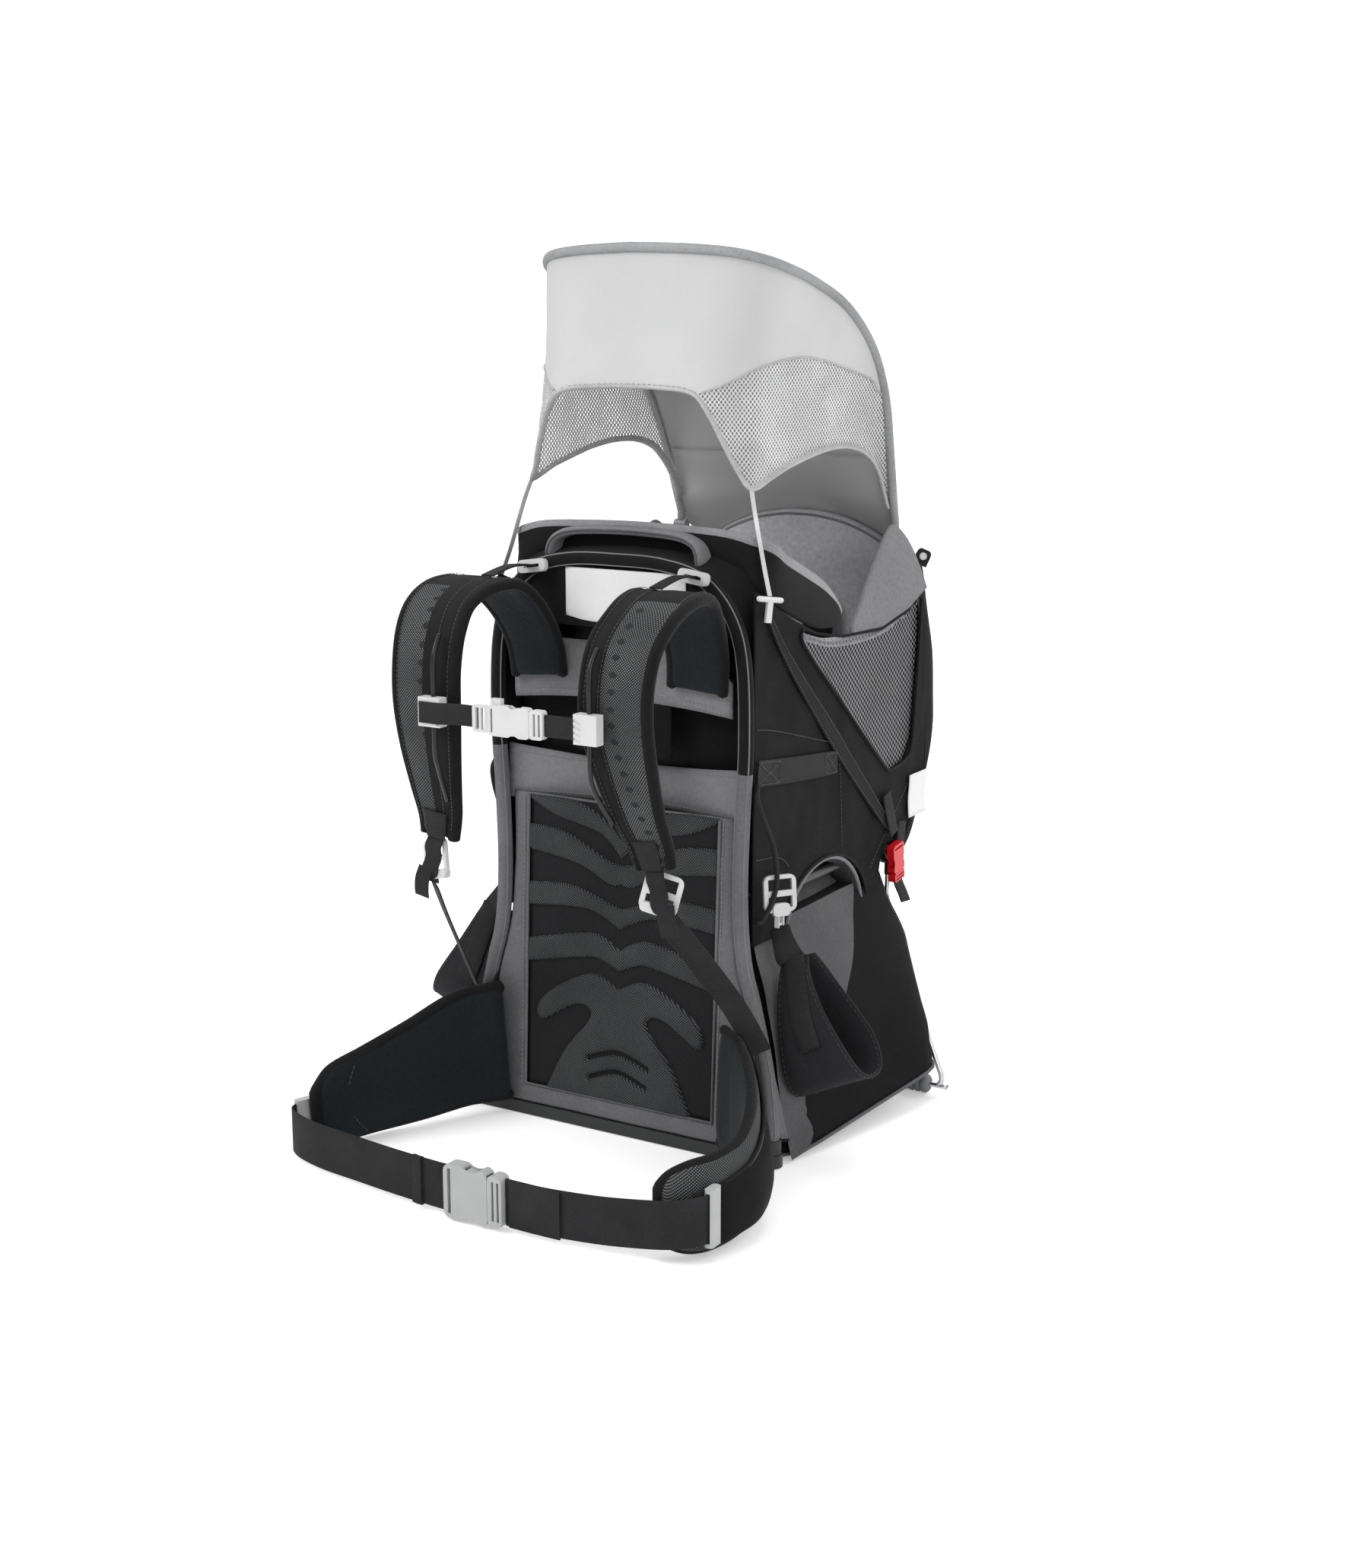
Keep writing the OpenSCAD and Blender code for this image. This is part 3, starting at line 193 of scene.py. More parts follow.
def joined(name, parts):
    """One object from several meshes that lists (points, faces, cloth) describe."""
    points, faces, cloth = [], [], []
    for p, f, c in parts:
        faces += [tuple(k + len(points) for k in face) for face in f]
        points += p
        cloth += c
    return made(name, points, faces, cloth)


def tube_parts(path, radius, sides=12, stretch=1.0):
    """The points, faces and cloth of a round tube with rounded ends."""
    at = [Vector(p[:3]) for p in path]
    last = len(at) - 1
    along = [(at[min(i + 1, last)] - at[max(i - 1, 0)]).normalized() for i in range(last + 1)]
    across = along[0].orthogonal().normalized()
    radii = [p[3] if len(p) > 3 else radius for p in path]
    points, cloth, far = [], [], reach(path)
    for i, t in enumerate(along):
        across = (across - t * across.dot(t)).normalized()
        off = t.cross(across)
        for k in range(sides):
            turn = math.tau * k / sides
            points.append(at[i] + (across * math.cos(turn) + off * math.sin(turn) * stretch) * radii[i])
            cloth.append((radii[i] * turn, far[i]))
    faces = [(i * sides + k, i * sides + (k + 1) % sides, (i + 1) * sides + (k + 1) % sides, (i + 1) * sides + k)
             for i in range(last) for k in range(sides)]
    for i, way in ((0, -1), (last, 1)):
        tip = len(points)
        points.append(at[i] + along[i] * way * radii[i] * 0.6)
        cloth.append((0, far[i]))
        for k in range(sides):
            face = (i * sides + k, i * sides + (k + 1) % sides, tip)
            faces.append(face if way > 0 else face[::-1])
    return points, faces, cloth


def tube(name, paths, radius, sides=12, stretch=1.0):
    """Round tubes, piping or cords along one path or several."""
    return joined(name, [tube_parts(path, radius, sides, stretch) for path in paths])


def dense(loop, step):
    """A closed loop with points no further apart than step."""
    out = []
    for a, b in zip(loop, loop[1:] + loop[:1]):
        n = max(1, math.ceil(math.dist(a, b) / step))
        out += [(a[0] + (b[0] - a[0]) * k / n, a[1] + (b[1] - a[1]) * k / n) for k in range(n)]
    return out


def inside(points, loops):
    """Which points lie inside the first loop and outside the others, its holes."""
    found = np.zeros(len(points), bool)
    x, y = points[:, 0], points[:, 1]
    for loop in loops:
        a, b = np.array(loop), np.roll(np.array(loop), -1, 0)
        for (ax, ay), (bx, by) in zip(a, b):
            crosses = (ay > y) != (by > y)
            found ^= crosses & (x < (bx - ax) * (y - ay) / (by - ay if by != ay else 1) + ax)
    return found


def clearance(points, loops):
    """How far each point lies from the nearest edge of the loops."""
    least = np.full(len(points), 1e9)
    for loop in loops:
        a, b = np.array(loop), np.roll(np.array(loop), -1, 0)
        for p, q in zip(a, b):
            d = q - p
            t = np.clip(((points - p) @ d) / max(d @ d, 1e-9), 0, 1)
            least = np.minimum(least, np.linalg.norm(points - p - t[:, None] * d, axis=1))
    return least


def cut_out(outline, holes=(), step=8.0, rings=()):
    """A flat piece of cloth: its points, triangles, and how far each point lies from an edge."""
    loops = [dense(loop, step) for loop in (outline, *holes)]
    edges, points = [], []
    for loop in loops:
        n, m = len(points), len(loop)
        points += loop
        edges += [(n + k, n + (k + 1) % m) for k in range(m)]
    lows, highs = np.min(points, 0), np.max(points, 0)
    grid = np.array([(x + (row % 2) * step / 2, y)
                     for row, y in enumerate(np.arange(lows[1], highs[1], step * 0.87))
                     for x in np.arange(lows[0], highs[0], step)])
    grid = grid[inside(grid, loops)]
    grid = grid[clearance(grid, loops) > (rings[-1] if rings else 0) + step * 0.6]
    inner = [tuple(p) for p in grid]
    for r in rings:
        for loop in loops:
            ring = []
            for a, b, c in zip(loop[-1:] + loop[:-1], loop, loop[1:] + loop[:1]):
                d = Vector(c) - Vector(a)
                n = Vector((-d.y, d.x)).normalized() * r
                ring += [(b[0] + n.x, b[1] + n.y), (b[0] - n.x, b[1] - n.y)]
            ring = np.array(ring)
            ring = ring[inside(ring, loops)]
            inner += [tuple(p) for p in ring[clearance(ring, loops) > r * 0.93]]
    found = delaunay_2d_cdt([Vector(p) for p in points + inner], edges, [], 0, 1e-3)
    spots = np.array([tuple(v) for v in found[0]])
    middles = np.array([spots[list(f)].mean(0) for f in found[2]])
    faces = [tuple(f) for f, held in zip(found[2], inside(middles, loops)) if held]
    return spots, faces, clearance(spots, loops)


def panel(name, cut, place, flip=False):
    """A cut piece of cloth set in space by place(u, v, edge)."""
    spots, faces, edge = cut
    points = [place(u, v, e) for (u, v), e in zip(spots, edge)]
    return made(name, points, [f[::-1] for f in faces] if flip else faces, [tuple(s) for s in spots])


def thick(thing, amount, offset=-1.0):
    """Gives a sheet its thickness, in millimetres."""
    solid = thing.modifiers.new("Thickness", "SOLIDIFY")
    solid.thickness, solid.offset = amount * MM, offset
    return thing


def rounder(thing, levels=1):
    """Rounds a coarse sheet between its points."""
    soft = thing.modifiers.new("Rounding", "SUBSURF")
    soft.levels = soft.render_levels = levels
    return thing


def stitch_parts(line, length=3.2, gap=1.8, radius=0.42):
    """Sewn thread along one line."""
    far, parts, start = reach(line), [], gap
    spot = 0
    while start + length < far[-1]:
        ends = []
        for d in (start, start + length / 2, start + length):
            while spot < len(far) - 2 and far[spot + 1] < d:
                spot += 1
            t = (d - far[spot]) / max(far[spot + 1] - far[spot], 1e-6)
            ends.append(Vector(line[spot][:3]).lerp(Vector(line[spot + 1][:3]), t))
        spot = max(spot - 1, 0)
        parts.append(tube_parts(ends, radius, 5))
        start += length + gap
    return parts


def stitches(name, lines, **sizes):
    """Sewn thread along several lines, as one piece."""
    return joined(name, [part for line in lines for part in stitch_parts(line, **sizes)])


def crumple(p, scale, depth, seed=0.0):
    """How far a point of loose cloth stands off where it would lie flat."""
    return depth * (noise.noise(Vector(p) / scale + Vector((seed, 0, 0)))
                    + 0.4 * noise.noise(Vector(p) / scale * 2.3 + Vector((0, seed, 0))))


def dress(thing, finish, nodes=(), body="pack"):
    """Gives a piece its finish and its body, and hides the solids it stands for."""
    if not thing.data.materials:
        thing.data.materials.append(look(finish) if isinstance(finish, str) else finish)
    if body:
        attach(thing, body)
    if nodes:
        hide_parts(*([nodes] if isinstance(nodes, str) else nodes))
    return thing


def paint(thing, names, choose):
    """Gives each face of a piece one of several finishes; choose(face) returns its number."""
    for name in names:
        thing.data.materials.append(look(name))
    for face in thing.data.polygons:
        face.material_index = choose(face)


def keep(finish, edge, *nodes):
    """Shows rigid solids as they are, with their edges eased and their own finish."""
    for node in nodes:
        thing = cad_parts[node]
        thing.data.materials.clear()
        thing.data.materials.append(look(finish))
        ease = thing.modifiers.new("Eased edges", "BEVEL")
        ease.width, ease.segments, ease.limit_method = edge * MM, 2, "ANGLE"
        ease.angle_limit = math.radians(35)
        ease.harden_normals = True


waiting = []


def stuffed(thing, held, pressure=4.0, most=5.0):
    """Puts a pad down for filling; held says which of its points are sewn down."""
    group = thing.vertex_groups.new(name="sewn")
    group.add([i for i in range(len(thing.data.vertices)) if held(i)], 1.0, "ADD")
    waiting.append((thing, pressure, most))
    return thing


def fill_pads(frames=16):
    """Blows the waiting pads up as sewn cloth under pressure, and keeps the shapes they take."""
    scene = bpy.context.scene
    scene.frame_start, scene.frame_end = 1, frames
    rest = {}
    for thing, pressure, most in waiting:
        count = len(thing.data.vertices)
        rest[thing.name] = np.empty(count * 3, np.float32)
        thing.data.vertices.foreach_get("co", rest[thing.name])
        cloth = thing.modifiers.new("Filling", "CLOTH")
        while thing.modifiers[0] != cloth:
            bpy.context.view_layer.objects.active = thing
            thing.modifiers.move(len(thing.modifiers) - 1, 0)
        settings = cloth.settings
        settings.quality, settings.mass = 5, 0.3
        settings.tension_stiffness = settings.compression_stiffness = 12
        settings.bending_stiffness = 0.6
        settings.use_pressure, settings.uniform_pressure_force = True, pressure
        settings.effector_weights.gravity = 0
        settings.vertex_group_mass = "sewn"
        cloth.point_cache.frame_end = frames
        for other in thing.modifiers[1:]:
            other.show_viewport = False
    for f in range(1, frames + 1):
        scene.frame_set(f)
    graph = bpy.context.evaluated_depsgraph_get()
    for thing, pressure, most in waiting:
        filled = thing.evaluated_get(graph).data
        shape = np.empty(len(filled.vertices) * 3, np.float32)
        filled.vertices.foreach_get("co", shape)
        moved = (shape - rest[thing.name]).reshape(-1, 3)
        far = np.linalg.norm(moved, axis=1)[:, None]
        moved *= np.minimum(1, most * MM / np.maximum(far, 1e-9))
        thing.modifiers.remove(thing.modifiers[0])
        for other in thing.modifiers:
            other.show_viewport = True
        thing.data.vertices.foreach_set("co", rest[thing.name] + moved.ravel())
        thing.data.update()
    scene.frame_set(1)
    waiting.clear()


# ---- finishes ----

class Value:
    """A number inside a material; sums of values add the nodes that they need."""

    def __init__(self, finish, socket):
        self.finish, self.socket = finish, socket

    def other(self, name):
        """Another result of the node that this value comes from."""
        return Value(self.finish, self.socket.node.outputs[name])

    def work(self, operation, *inputs):
        """The result of one more maths node."""
        return self.finish.node("ShaderNodeMath", {"operation": operation}, dict(enumerate(inputs)))

    def __add__(self, other):
        return self.work("ADD", self, other)

    def __sub__(self, other):
        return self.work("SUBTRACT", self, other)

    def __rsub__(self, other):
        return self.work("SUBTRACT", other, self)

    def __mul__(self, other):
        return self.work("MULTIPLY", self, other)

    def __abs__(self):
        return self.work("ABSOLUTE", self)

    __radd__, __rmul__ = __add__, __mul__

    def wave(self, length):
        """A cosine wave of that length."""
        return self.work("COSINE", self * (math.tau / length))

    def between(self, start, end):
        """0 below start and 1 above end, with a soft step between them."""
        return self.finish.node("ShaderNodeMapRange", {"interpolation_type": "SMOOTHSTEP"},
                                {"Value": self, "From Min": start, "From Max": end})

    def larger(self, other):
        return self.work("MAXIMUM", self, other)


class Finish:
    """One material, made from its nodes."""

    def __init__(self, name, **shader):
        self.material = bpy.data.materials.new(name)
        self.material.use_nodes = True
        self.tree = self.material.node_tree
        self.tree.nodes.clear()
        self.shader = self.tree.nodes.new("ShaderNodeBsdfPrincipled")
        self.end = self.tree.nodes.new("ShaderNodeOutputMaterial")
        self.tree.links.new(self.shader.outputs[0], self.end.inputs["Surface"])
        self.set(**shader)

    def node(self, kind, settings=None, sockets=None, output=0):
        """Adds a node with its settings and inputs, and gives one of its results."""
        made_node = self.tree.nodes.new(kind)
        for name, value in (settings or {}).items():
            setattr(made_node, name, value)
        for name, value in (sockets or {}).items():
            self.join(made_node.inputs[name], value)
        return Value(self, made_node.outputs[output])

    def join(self, socket, value):
        """Links a value to a socket, or sets the socket to a plain number or colour."""
        if isinstance(value, Value):
            self.tree.links.new(value.socket, socket)
        else:
            socket.default_value = value

    def set(self, **shader):
        """Sets the shader's sockets: numbers and colours directly, and values by a link."""
        for name, value in shader.items():
            self.join(self.shader.inputs[name.replace("_", " ")], self.opaque(value))
        return self

    def cloth(self):
        """Across and along the cloth, in millimetres."""
        parts = self.node("ShaderNodeSeparateXYZ", None, {
            0: self.node("ShaderNodeUVMap", {"uv_map": "Cloth"})})
        return parts, parts.other("Y")

    def speckle(self, size, detail=2.0, roughness=0.5):
        """Noise whose lumps are about size millimetres across, in all directions."""
        spot = self.node("ShaderNodeTexCoord", output="Object")
        return self.node("ShaderNodeTexNoise", None, {
            "Vector": spot, "Scale": 0.5 / (size * MM), "Detail": detail, "Roughness": roughness})

    def mix(self, share, first, second):
        """A colour between two colours."""
        return self.node("ShaderNodeMix", {"data_type": "RGBA"}, {
            0: share, 6: self.opaque(first), 7: self.opaque(second)}, output=2)

    def tint(self, share, colour, dark, light, **shader):
        """Colours the surface between a darker and a lighter shade of one colour."""
        return self.set(Base_Color=self.mix(share, shade(colour, dark), shade(colour, light)), **shader)

    @staticmethod
    def opaque(colour):
        """A plain colour with its alpha; anything else stays as it is."""
        return (*colour, 1.0) if isinstance(colour, tuple) and len(colour) == 3 else colour

    def bump(self, height, depth, strength=1.0):
        """Raises the surface by height times depth millimetres."""
        raised = self.node("ShaderNodeBump", None, {
            "Height": height, "Distance": depth * MM, "Strength": strength})
        return self.set(Normal=raised)


def shade(colour, factor):
    """A colour made lighter or darker."""
    return tuple(min(1.0, c * factor) for c in tuple(colour)[:3])


def ripstop(name, colour, cell=6.5):
    """Light coated nylon with a faint grid of thicker threads."""
    f = Finish(name, Roughness=0.7, Specular_IOR_Level=0.06)
    u, v = f.cloth()
    thread = u.wave(cell).between(0.93, 1.0).larger(v.wave(cell).between(0.93, 1.0))
    weave = u.wave(1.3) * v.wave(1.3)
    cloud = f.speckle(70.0, 3.0)
    f.tint(cloud.between(0.35, 0.7) * 0.55 + thread * 0.25, colour, 0.86, 1.35)
    return f.bump(thread * 0.6 + weave * 0.22 + f.speckle(9.0) * 0.5, 0.5, 0.5)


def plain_cloth(name, colour, grain=1.6, contrast=0.16):
    """Dense woven cloth, as on bands, borders and linings."""
    f = Finish(name, Roughness=0.85, Sheen_Weight=0.03, Specular_IOR_Level=0.12)
    u, v = f.cloth()
    weave = u.wave(grain) * v.wave(grain)
    tone = f.speckle(45.0, 3.0) * 0.6 + f.speckle(grain * 1.2) * 0.4
    f.tint(tone.between(0.3, 0.7), colour, 1 - contrast, 1 + contrast)
    return f.bump(weave * 0.5 + f.speckle(3.0) * 0.6, 0.45, 0.6)


def brushed_cloth(name, colour, grain=2.4):
    """Soft textured lining with a pebbled surface, for what touches the child."""
    f = Finish(name, Roughness=0.9, Sheen_Weight=0.06, Specular_IOR_Level=0.12)
    pebble = f.speckle(grain, 1.0)
    tone = f.speckle(60.0, 2.0) * 0.5 + pebble * 0.5
    f.tint(tone.between(0.3, 0.7), colour, 0.86, 1.13)
    return f.bump(pebble, 0.8, 0.8)


def spacer_mesh(name, colour, dots, pitch=3.1, size=0.35, marks=0.0):
    """Thick knitted mesh with rows of small light dots; marks is how far from an edge its dark slots lie."""
    f = Finish(name, Roughness=0.85, Specular_IOR_Level=0.12)
    u, v = f.cloth()
    eye = (u.wave(pitch) * v.wave(pitch)).between(size, size + 0.35)
    tone = f.speckle(30.0, 2.0).between(0.3, 0.7)
    light = eye * (0.6 + 0.4 * tone)
    if marks:
        slot = abs(abs(u) - marks) * 0.13 + v.wave(17.0) * -0.8
        light = light * slot.between(-0.35, 0.0)
    f.set(Base_Color=f.mix(light, colour, dots))
    return f.bump(1 - eye, 0.8, 0.7)


def open_mesh(name, colour, hole, pitch=2.6):
    """Stretched black mesh whose fine eyes show the dark behind it."""
    f = Finish(name, Roughness=0.8, Specular_IOR_Level=0.12)
    u, v = f.cloth()
    eye = (u.wave(pitch) * v.wave(pitch)).between(0.1, 0.5)
    f.set(Base_Color=f.mix(eye, colour, hole))
    return f.bump(1 - eye, 0.6, 0.8)


def net(name, colour, pitch=7.0, hole=0.12):
    """A net of coarse threads; its holes are open."""
    f = Finish(name, Roughness=0.7, Sheen_Weight=0.2)
    u, v = f.cloth()
    eye = (u.wave(pitch) * v.wave(pitch * 0.9)).between(hole, hole + 0.3)
    tone = f.speckle(30.0, 2.0).between(0.3, 0.7)
    f.tint(tone, colour, 0.9, 1.1, Alpha=1 - eye)
    return f.bump(1 - eye, 0.5, 0.6)


def webbing(name, colour, rib=2.2):
    """Woven strap with fine ribs across it and a firm edge."""
    f = Finish(name, Roughness=0.65, Specular_IOR_Level=0.08)
    u, v = f.cloth()
    ribs = v.wave(rib) * 0.5 + (u + v * 0.5).wave(rib) * 0.5
    tone = f.speckle(25.0, 2.0) * 0.7 + ribs * 0.15
    f.tint(tone.between(0.2, 0.65), colour, 0.82, 1.3)
    return f.bump(ribs, 0.5, 0.6)


def moulded(name, colour, gloss=0.42, grain=1.4):
    """Moulded plastic with a fine grain."""
    f = Finish(name, Specular_IOR_Level=0.4)
    fine = f.speckle(grain, 2.0)
    cloud = f.speckle(18.0, 2.0)
    f.tint(cloud.between(0.3, 0.7), colour, 0.95, 1.04, Roughness=gloss - 0.06 + fine * 0.12)
    return f.bump(fine, 0.12, 0.35)


def metal(name, colour, gloss=0.3):
    """Drawn tube with a satin finish."""
    f = Finish(name, Metallic=1.0)
    fine = f.speckle(1.2, 3.0)
    f.tint(f.speckle(25.0).between(0.3, 0.7), colour, 0.9, 1.08, Roughness=gloss - 0.08 + fine * 0.16)
    return f.bump(fine, 0.05, 0.3)


def thread(name, colour):
    """Twisted sewing thread."""
    f = Finish(name, Roughness=0.6, Sheen_Weight=0.2)
    twist = f.speckle(0.8, 1.0)
    f.tint(twist, colour, 0.8, 1.2)
    return f.bump(twist, 0.1, 0.5)


# ---- what a user may change ----

def colour(name, description, *default):
    return FloatVectorProperty(name=name, description=description, default=default,
                               size=3, min=0.0, max=1.0, subtype="COLOR")


class CarrierColours(bpy.types.PropertyGroup):
    """The colours of the cloths, webbings and fittings."""
    body: colour("Body cloth", "Coated nylon of the seat, the bag and the panels", 0.0082, 0.0084, 0.0092)
    grey: colour("Grey cloth", "Border of the back panel, bands and stabilisers", 0.150, 0.150, 0.156)
    # painted light: the seat lining is set lighter than its cloth, to offset the shade that falls inside the wrap
    lining: colour("Seat lining", "Padded wrap round the child and the saddle", 0.520, 0.512, 0.540)
    mesh: colour("Back mesh", "Open mesh that is stretched over the back", 0.012, 0.012, 0.013)
    ridge: colour("Foam mesh", "Knitted mesh over the foam ridges and the pads", 0.024, 0.026, 0.027)
    dots: colour("Foam mesh dots", "Dots of the knitted mesh", 0.310, 0.314, 0.317)
    smooth_pad: colour("Pad underside", "Smooth cloth under the pads and on the hip wings", 0.0105, 0.0145, 0.018)
    webbing: colour("Webbing", "All dark straps", 0.0245, 0.0248, 0.026)
    shade: colour("Sunshade", "Light cloth of the sunshade", 0.610, 0.612, 0.612)
    shade_rim: colour("Sunshade rim", "Sleeve round the hoop and the inner side", 0.300, 0.305, 0.310)
    white: colour("White plastic", "Buckles, sliders and toggles", 0.590, 0.595, 0.590)
    grey_plastic: colour("Grey plastic", "Hip buckle and its adjusters", 0.390, 0.395, 0.395)
    red: colour("Red plastic", "Side buckles", 0.560, 0.006, 0.012)
    black_plastic: colour("Black plastic", "Base bar, brackets and sockets", 0.020, 0.021, 0.022)
    tube: colour("Tube", "Seat frame, kickstand and pins", 0.560, 0.570, 0.580)
    steel: colour("Steel", "Rod of the kickstand", 0.620, 0.630, 0.640)
    rubber: colour("Rubber", "Feet of the kickstand", 0.150, 0.155, 0.160)


class CarrierSizes(bpy.types.PropertyGroup):
    """The sizes of what is sewn on the frame."""
    binding: FloatProperty(name="Binding", description="Radius of the bound edges of the pads",
                           default=0.0058, min=0.002, max=0.008, unit="LENGTH")
    piping: FloatProperty(name="Piping", description="Radius of the piping along the seams",
                          default=0.0016, min=0.0005, max=0.003, unit="LENGTH")
    stitch: FloatProperty(name="Stitch", description="Length of one stitch of the seams that show",
                          default=0.0034, min=0.002, max=0.006, unit="LENGTH")
    crumple: FloatProperty(name="Crumple", description="How far the loose cloth stands off where it would lie flat",
                           default=0.0022, min=0.0, max=0.006, unit="LENGTH")
    filling: FloatProperty(name="Filling", description="Pressure that fills the pads",
                           default=4.0, min=0.0, max=12.0)


def colours():
    return bpy.context.scene.carrier_colours


def sizes():
    return bpy.context.scene.carrier_sizes


def binding_r():
    """The radius of the bound edges, in millimetres."""
    return sizes().binding / MM


def piping_r():
    """The radius of the piping, in millimetres."""
    return sizes().piping / MM


class Make:
    """What all the operators of the carrier share."""
    bl_options = {"REGISTER", "UNDO"}


finishes = {}
looks = {
    "body_cloth": (ripstop, ("body", 1)),
    "black_cloth": (plain_cloth, ("body", 1)),
    "black_lining": (plain_cloth, ("body", 1)),
    "harness_pad_cloth": (plain_cloth, ("body", 1)),
    "black_binding": (plain_cloth, ("body", 1.25)),
    # painted light: the stirrup sling is the body cloth made lighter, to offset the shade it hangs in
    "sling_cloth": (plain_cloth, ("body", 2.6)),
    "pad_cloth": (plain_cloth, ("mesh", 0.95), {"grain": 0.7}),
    "grey_cloth": (plain_cloth, ("grey", 1)),
    "grey_cover": (plain_cloth, ("grey", 1), {"grain": 1.4}),
    "handle_cloth": (plain_cloth, ("grey", 1.25), {"grain": 1.2}),
    "grey_piping": (plain_cloth, ("grey", 1.3)),
    "band_cloth": (plain_cloth, ("grey", 1.35)),
    "grey_edge": (plain_cloth, ("grey", 1.7)),
    "hem": (plain_cloth, ("grey", 0.8)),
    "grey_gusset": (plain_cloth, ("grey", 0.6)),
    "dark_binding": (plain_cloth, ("grey", 0.55)),
    "lining_piping": (plain_cloth, ("lining", 0.5)),
    "white_patch_cloth": (plain_cloth, ("white", 1.35), {"contrast": 0.03}),
    "shade_rim": (plain_cloth, ("shade_rim", 1)),
    "shade_cloth": (plain_cloth, ("shade", 1), {"grain": 0.8, "contrast": 0.03}),
    "shade_hem": (plain_cloth, ("shade", 0.75)),
    # painted light: the wrap's lining takes the lightened seat lining colour
    "lining": (brushed_cloth, ("lining", 1)),
    # painted shade: a darker copy of the seat lining for the wrap's wings, which the lamps light directly
    "wing_lining": (brushed_cloth, ("lining", 0.33)),
    "saddle_lining": (brushed_cloth, ("lining", 0.4)),
    "loop_cloth": (brushed_cloth, ("body", 3)),
    "pad_binding": (brushed_cloth, ("body", 0.9)),
    "pad_lining": (brushed_cloth, ("smooth_pad", 1)),
    "wing_skin": (brushed_cloth, ("smooth_pad", 1)),
    "foam_mesh": (spacer_mesh, ("ridge", 1), ("dots", 0.7)),
    "board_cloth": (spacer_mesh, ("body", 0.7), ("body", 1.4)),
    "strap_mesh": (spacer_mesh, ("ridge", 1), ("dots", 1), {"marks": 40.0}),
    "pad_mesh": (spacer_mesh, ("ridge", 1), ("dots", 1)),
    "stretched_mesh": (open_mesh, ("mesh", 1.9), ("mesh", 0.3), {"pitch": 3.4}),
    "window_net": (net, ("lining", 0.3), {"pitch": 8.0, "hole": -0.15}),
    "shade_mesh": (net, ("shade", 1), {"pitch": 6.4, "hole": -0.05}),
    "black_webbing": (webbing, ("webbing", 1)),
    "white_webbing": (webbing, ("shade", 1)),
    "black_base": (moulded, ("black_plastic", 1), {"gloss": 0.5}),
    "black_plastic": (moulded, ("black_plastic", 1)),
    "white_plastic": (moulded, ("white", 1)),
    "grey_plastic": (moulded, ("grey_plastic", 1)),
    "red_plastic": (moulded, ("red", 1), {"gloss": 0.34}),
    "grey_hinge": (moulded, ("lining", 0.5)),
    "grey_rubber": (moulded, ("rubber", 1), {"gloss": 0.7}),
    "rail_rubber": (moulded, ("body", 0.7), {"gloss": 0.35}),
    # painted shade: a near-black finish that stands for the shade inside the slit of a hip wing
    "dark_groove": (moulded, ("body", 0.3)),
    "steel": (metal, ("steel", 1)),
    "pin_steel": (metal, ("tube", 1)),
    "grey_thread": (thread, ("grey", 1.7)),
    "black_thread": (thread, ("body", 2.4)),
    "blue_thread": (thread, ("smooth_pad", 2.6)),
}


def look(name):
    """One of the finishes listed above, made when a piece first asks for it."""
    if name not in finishes:
        kind, *tones = looks[name]
        options = tones.pop() if isinstance(tones[-1], dict) else {}
        tones = [shade(getattr(colours(), tone), factor) for tone, factor in tones]
        finishes[name] = kind(name, *tones, **options).material
    return finishes[name]


# ---- stage ----

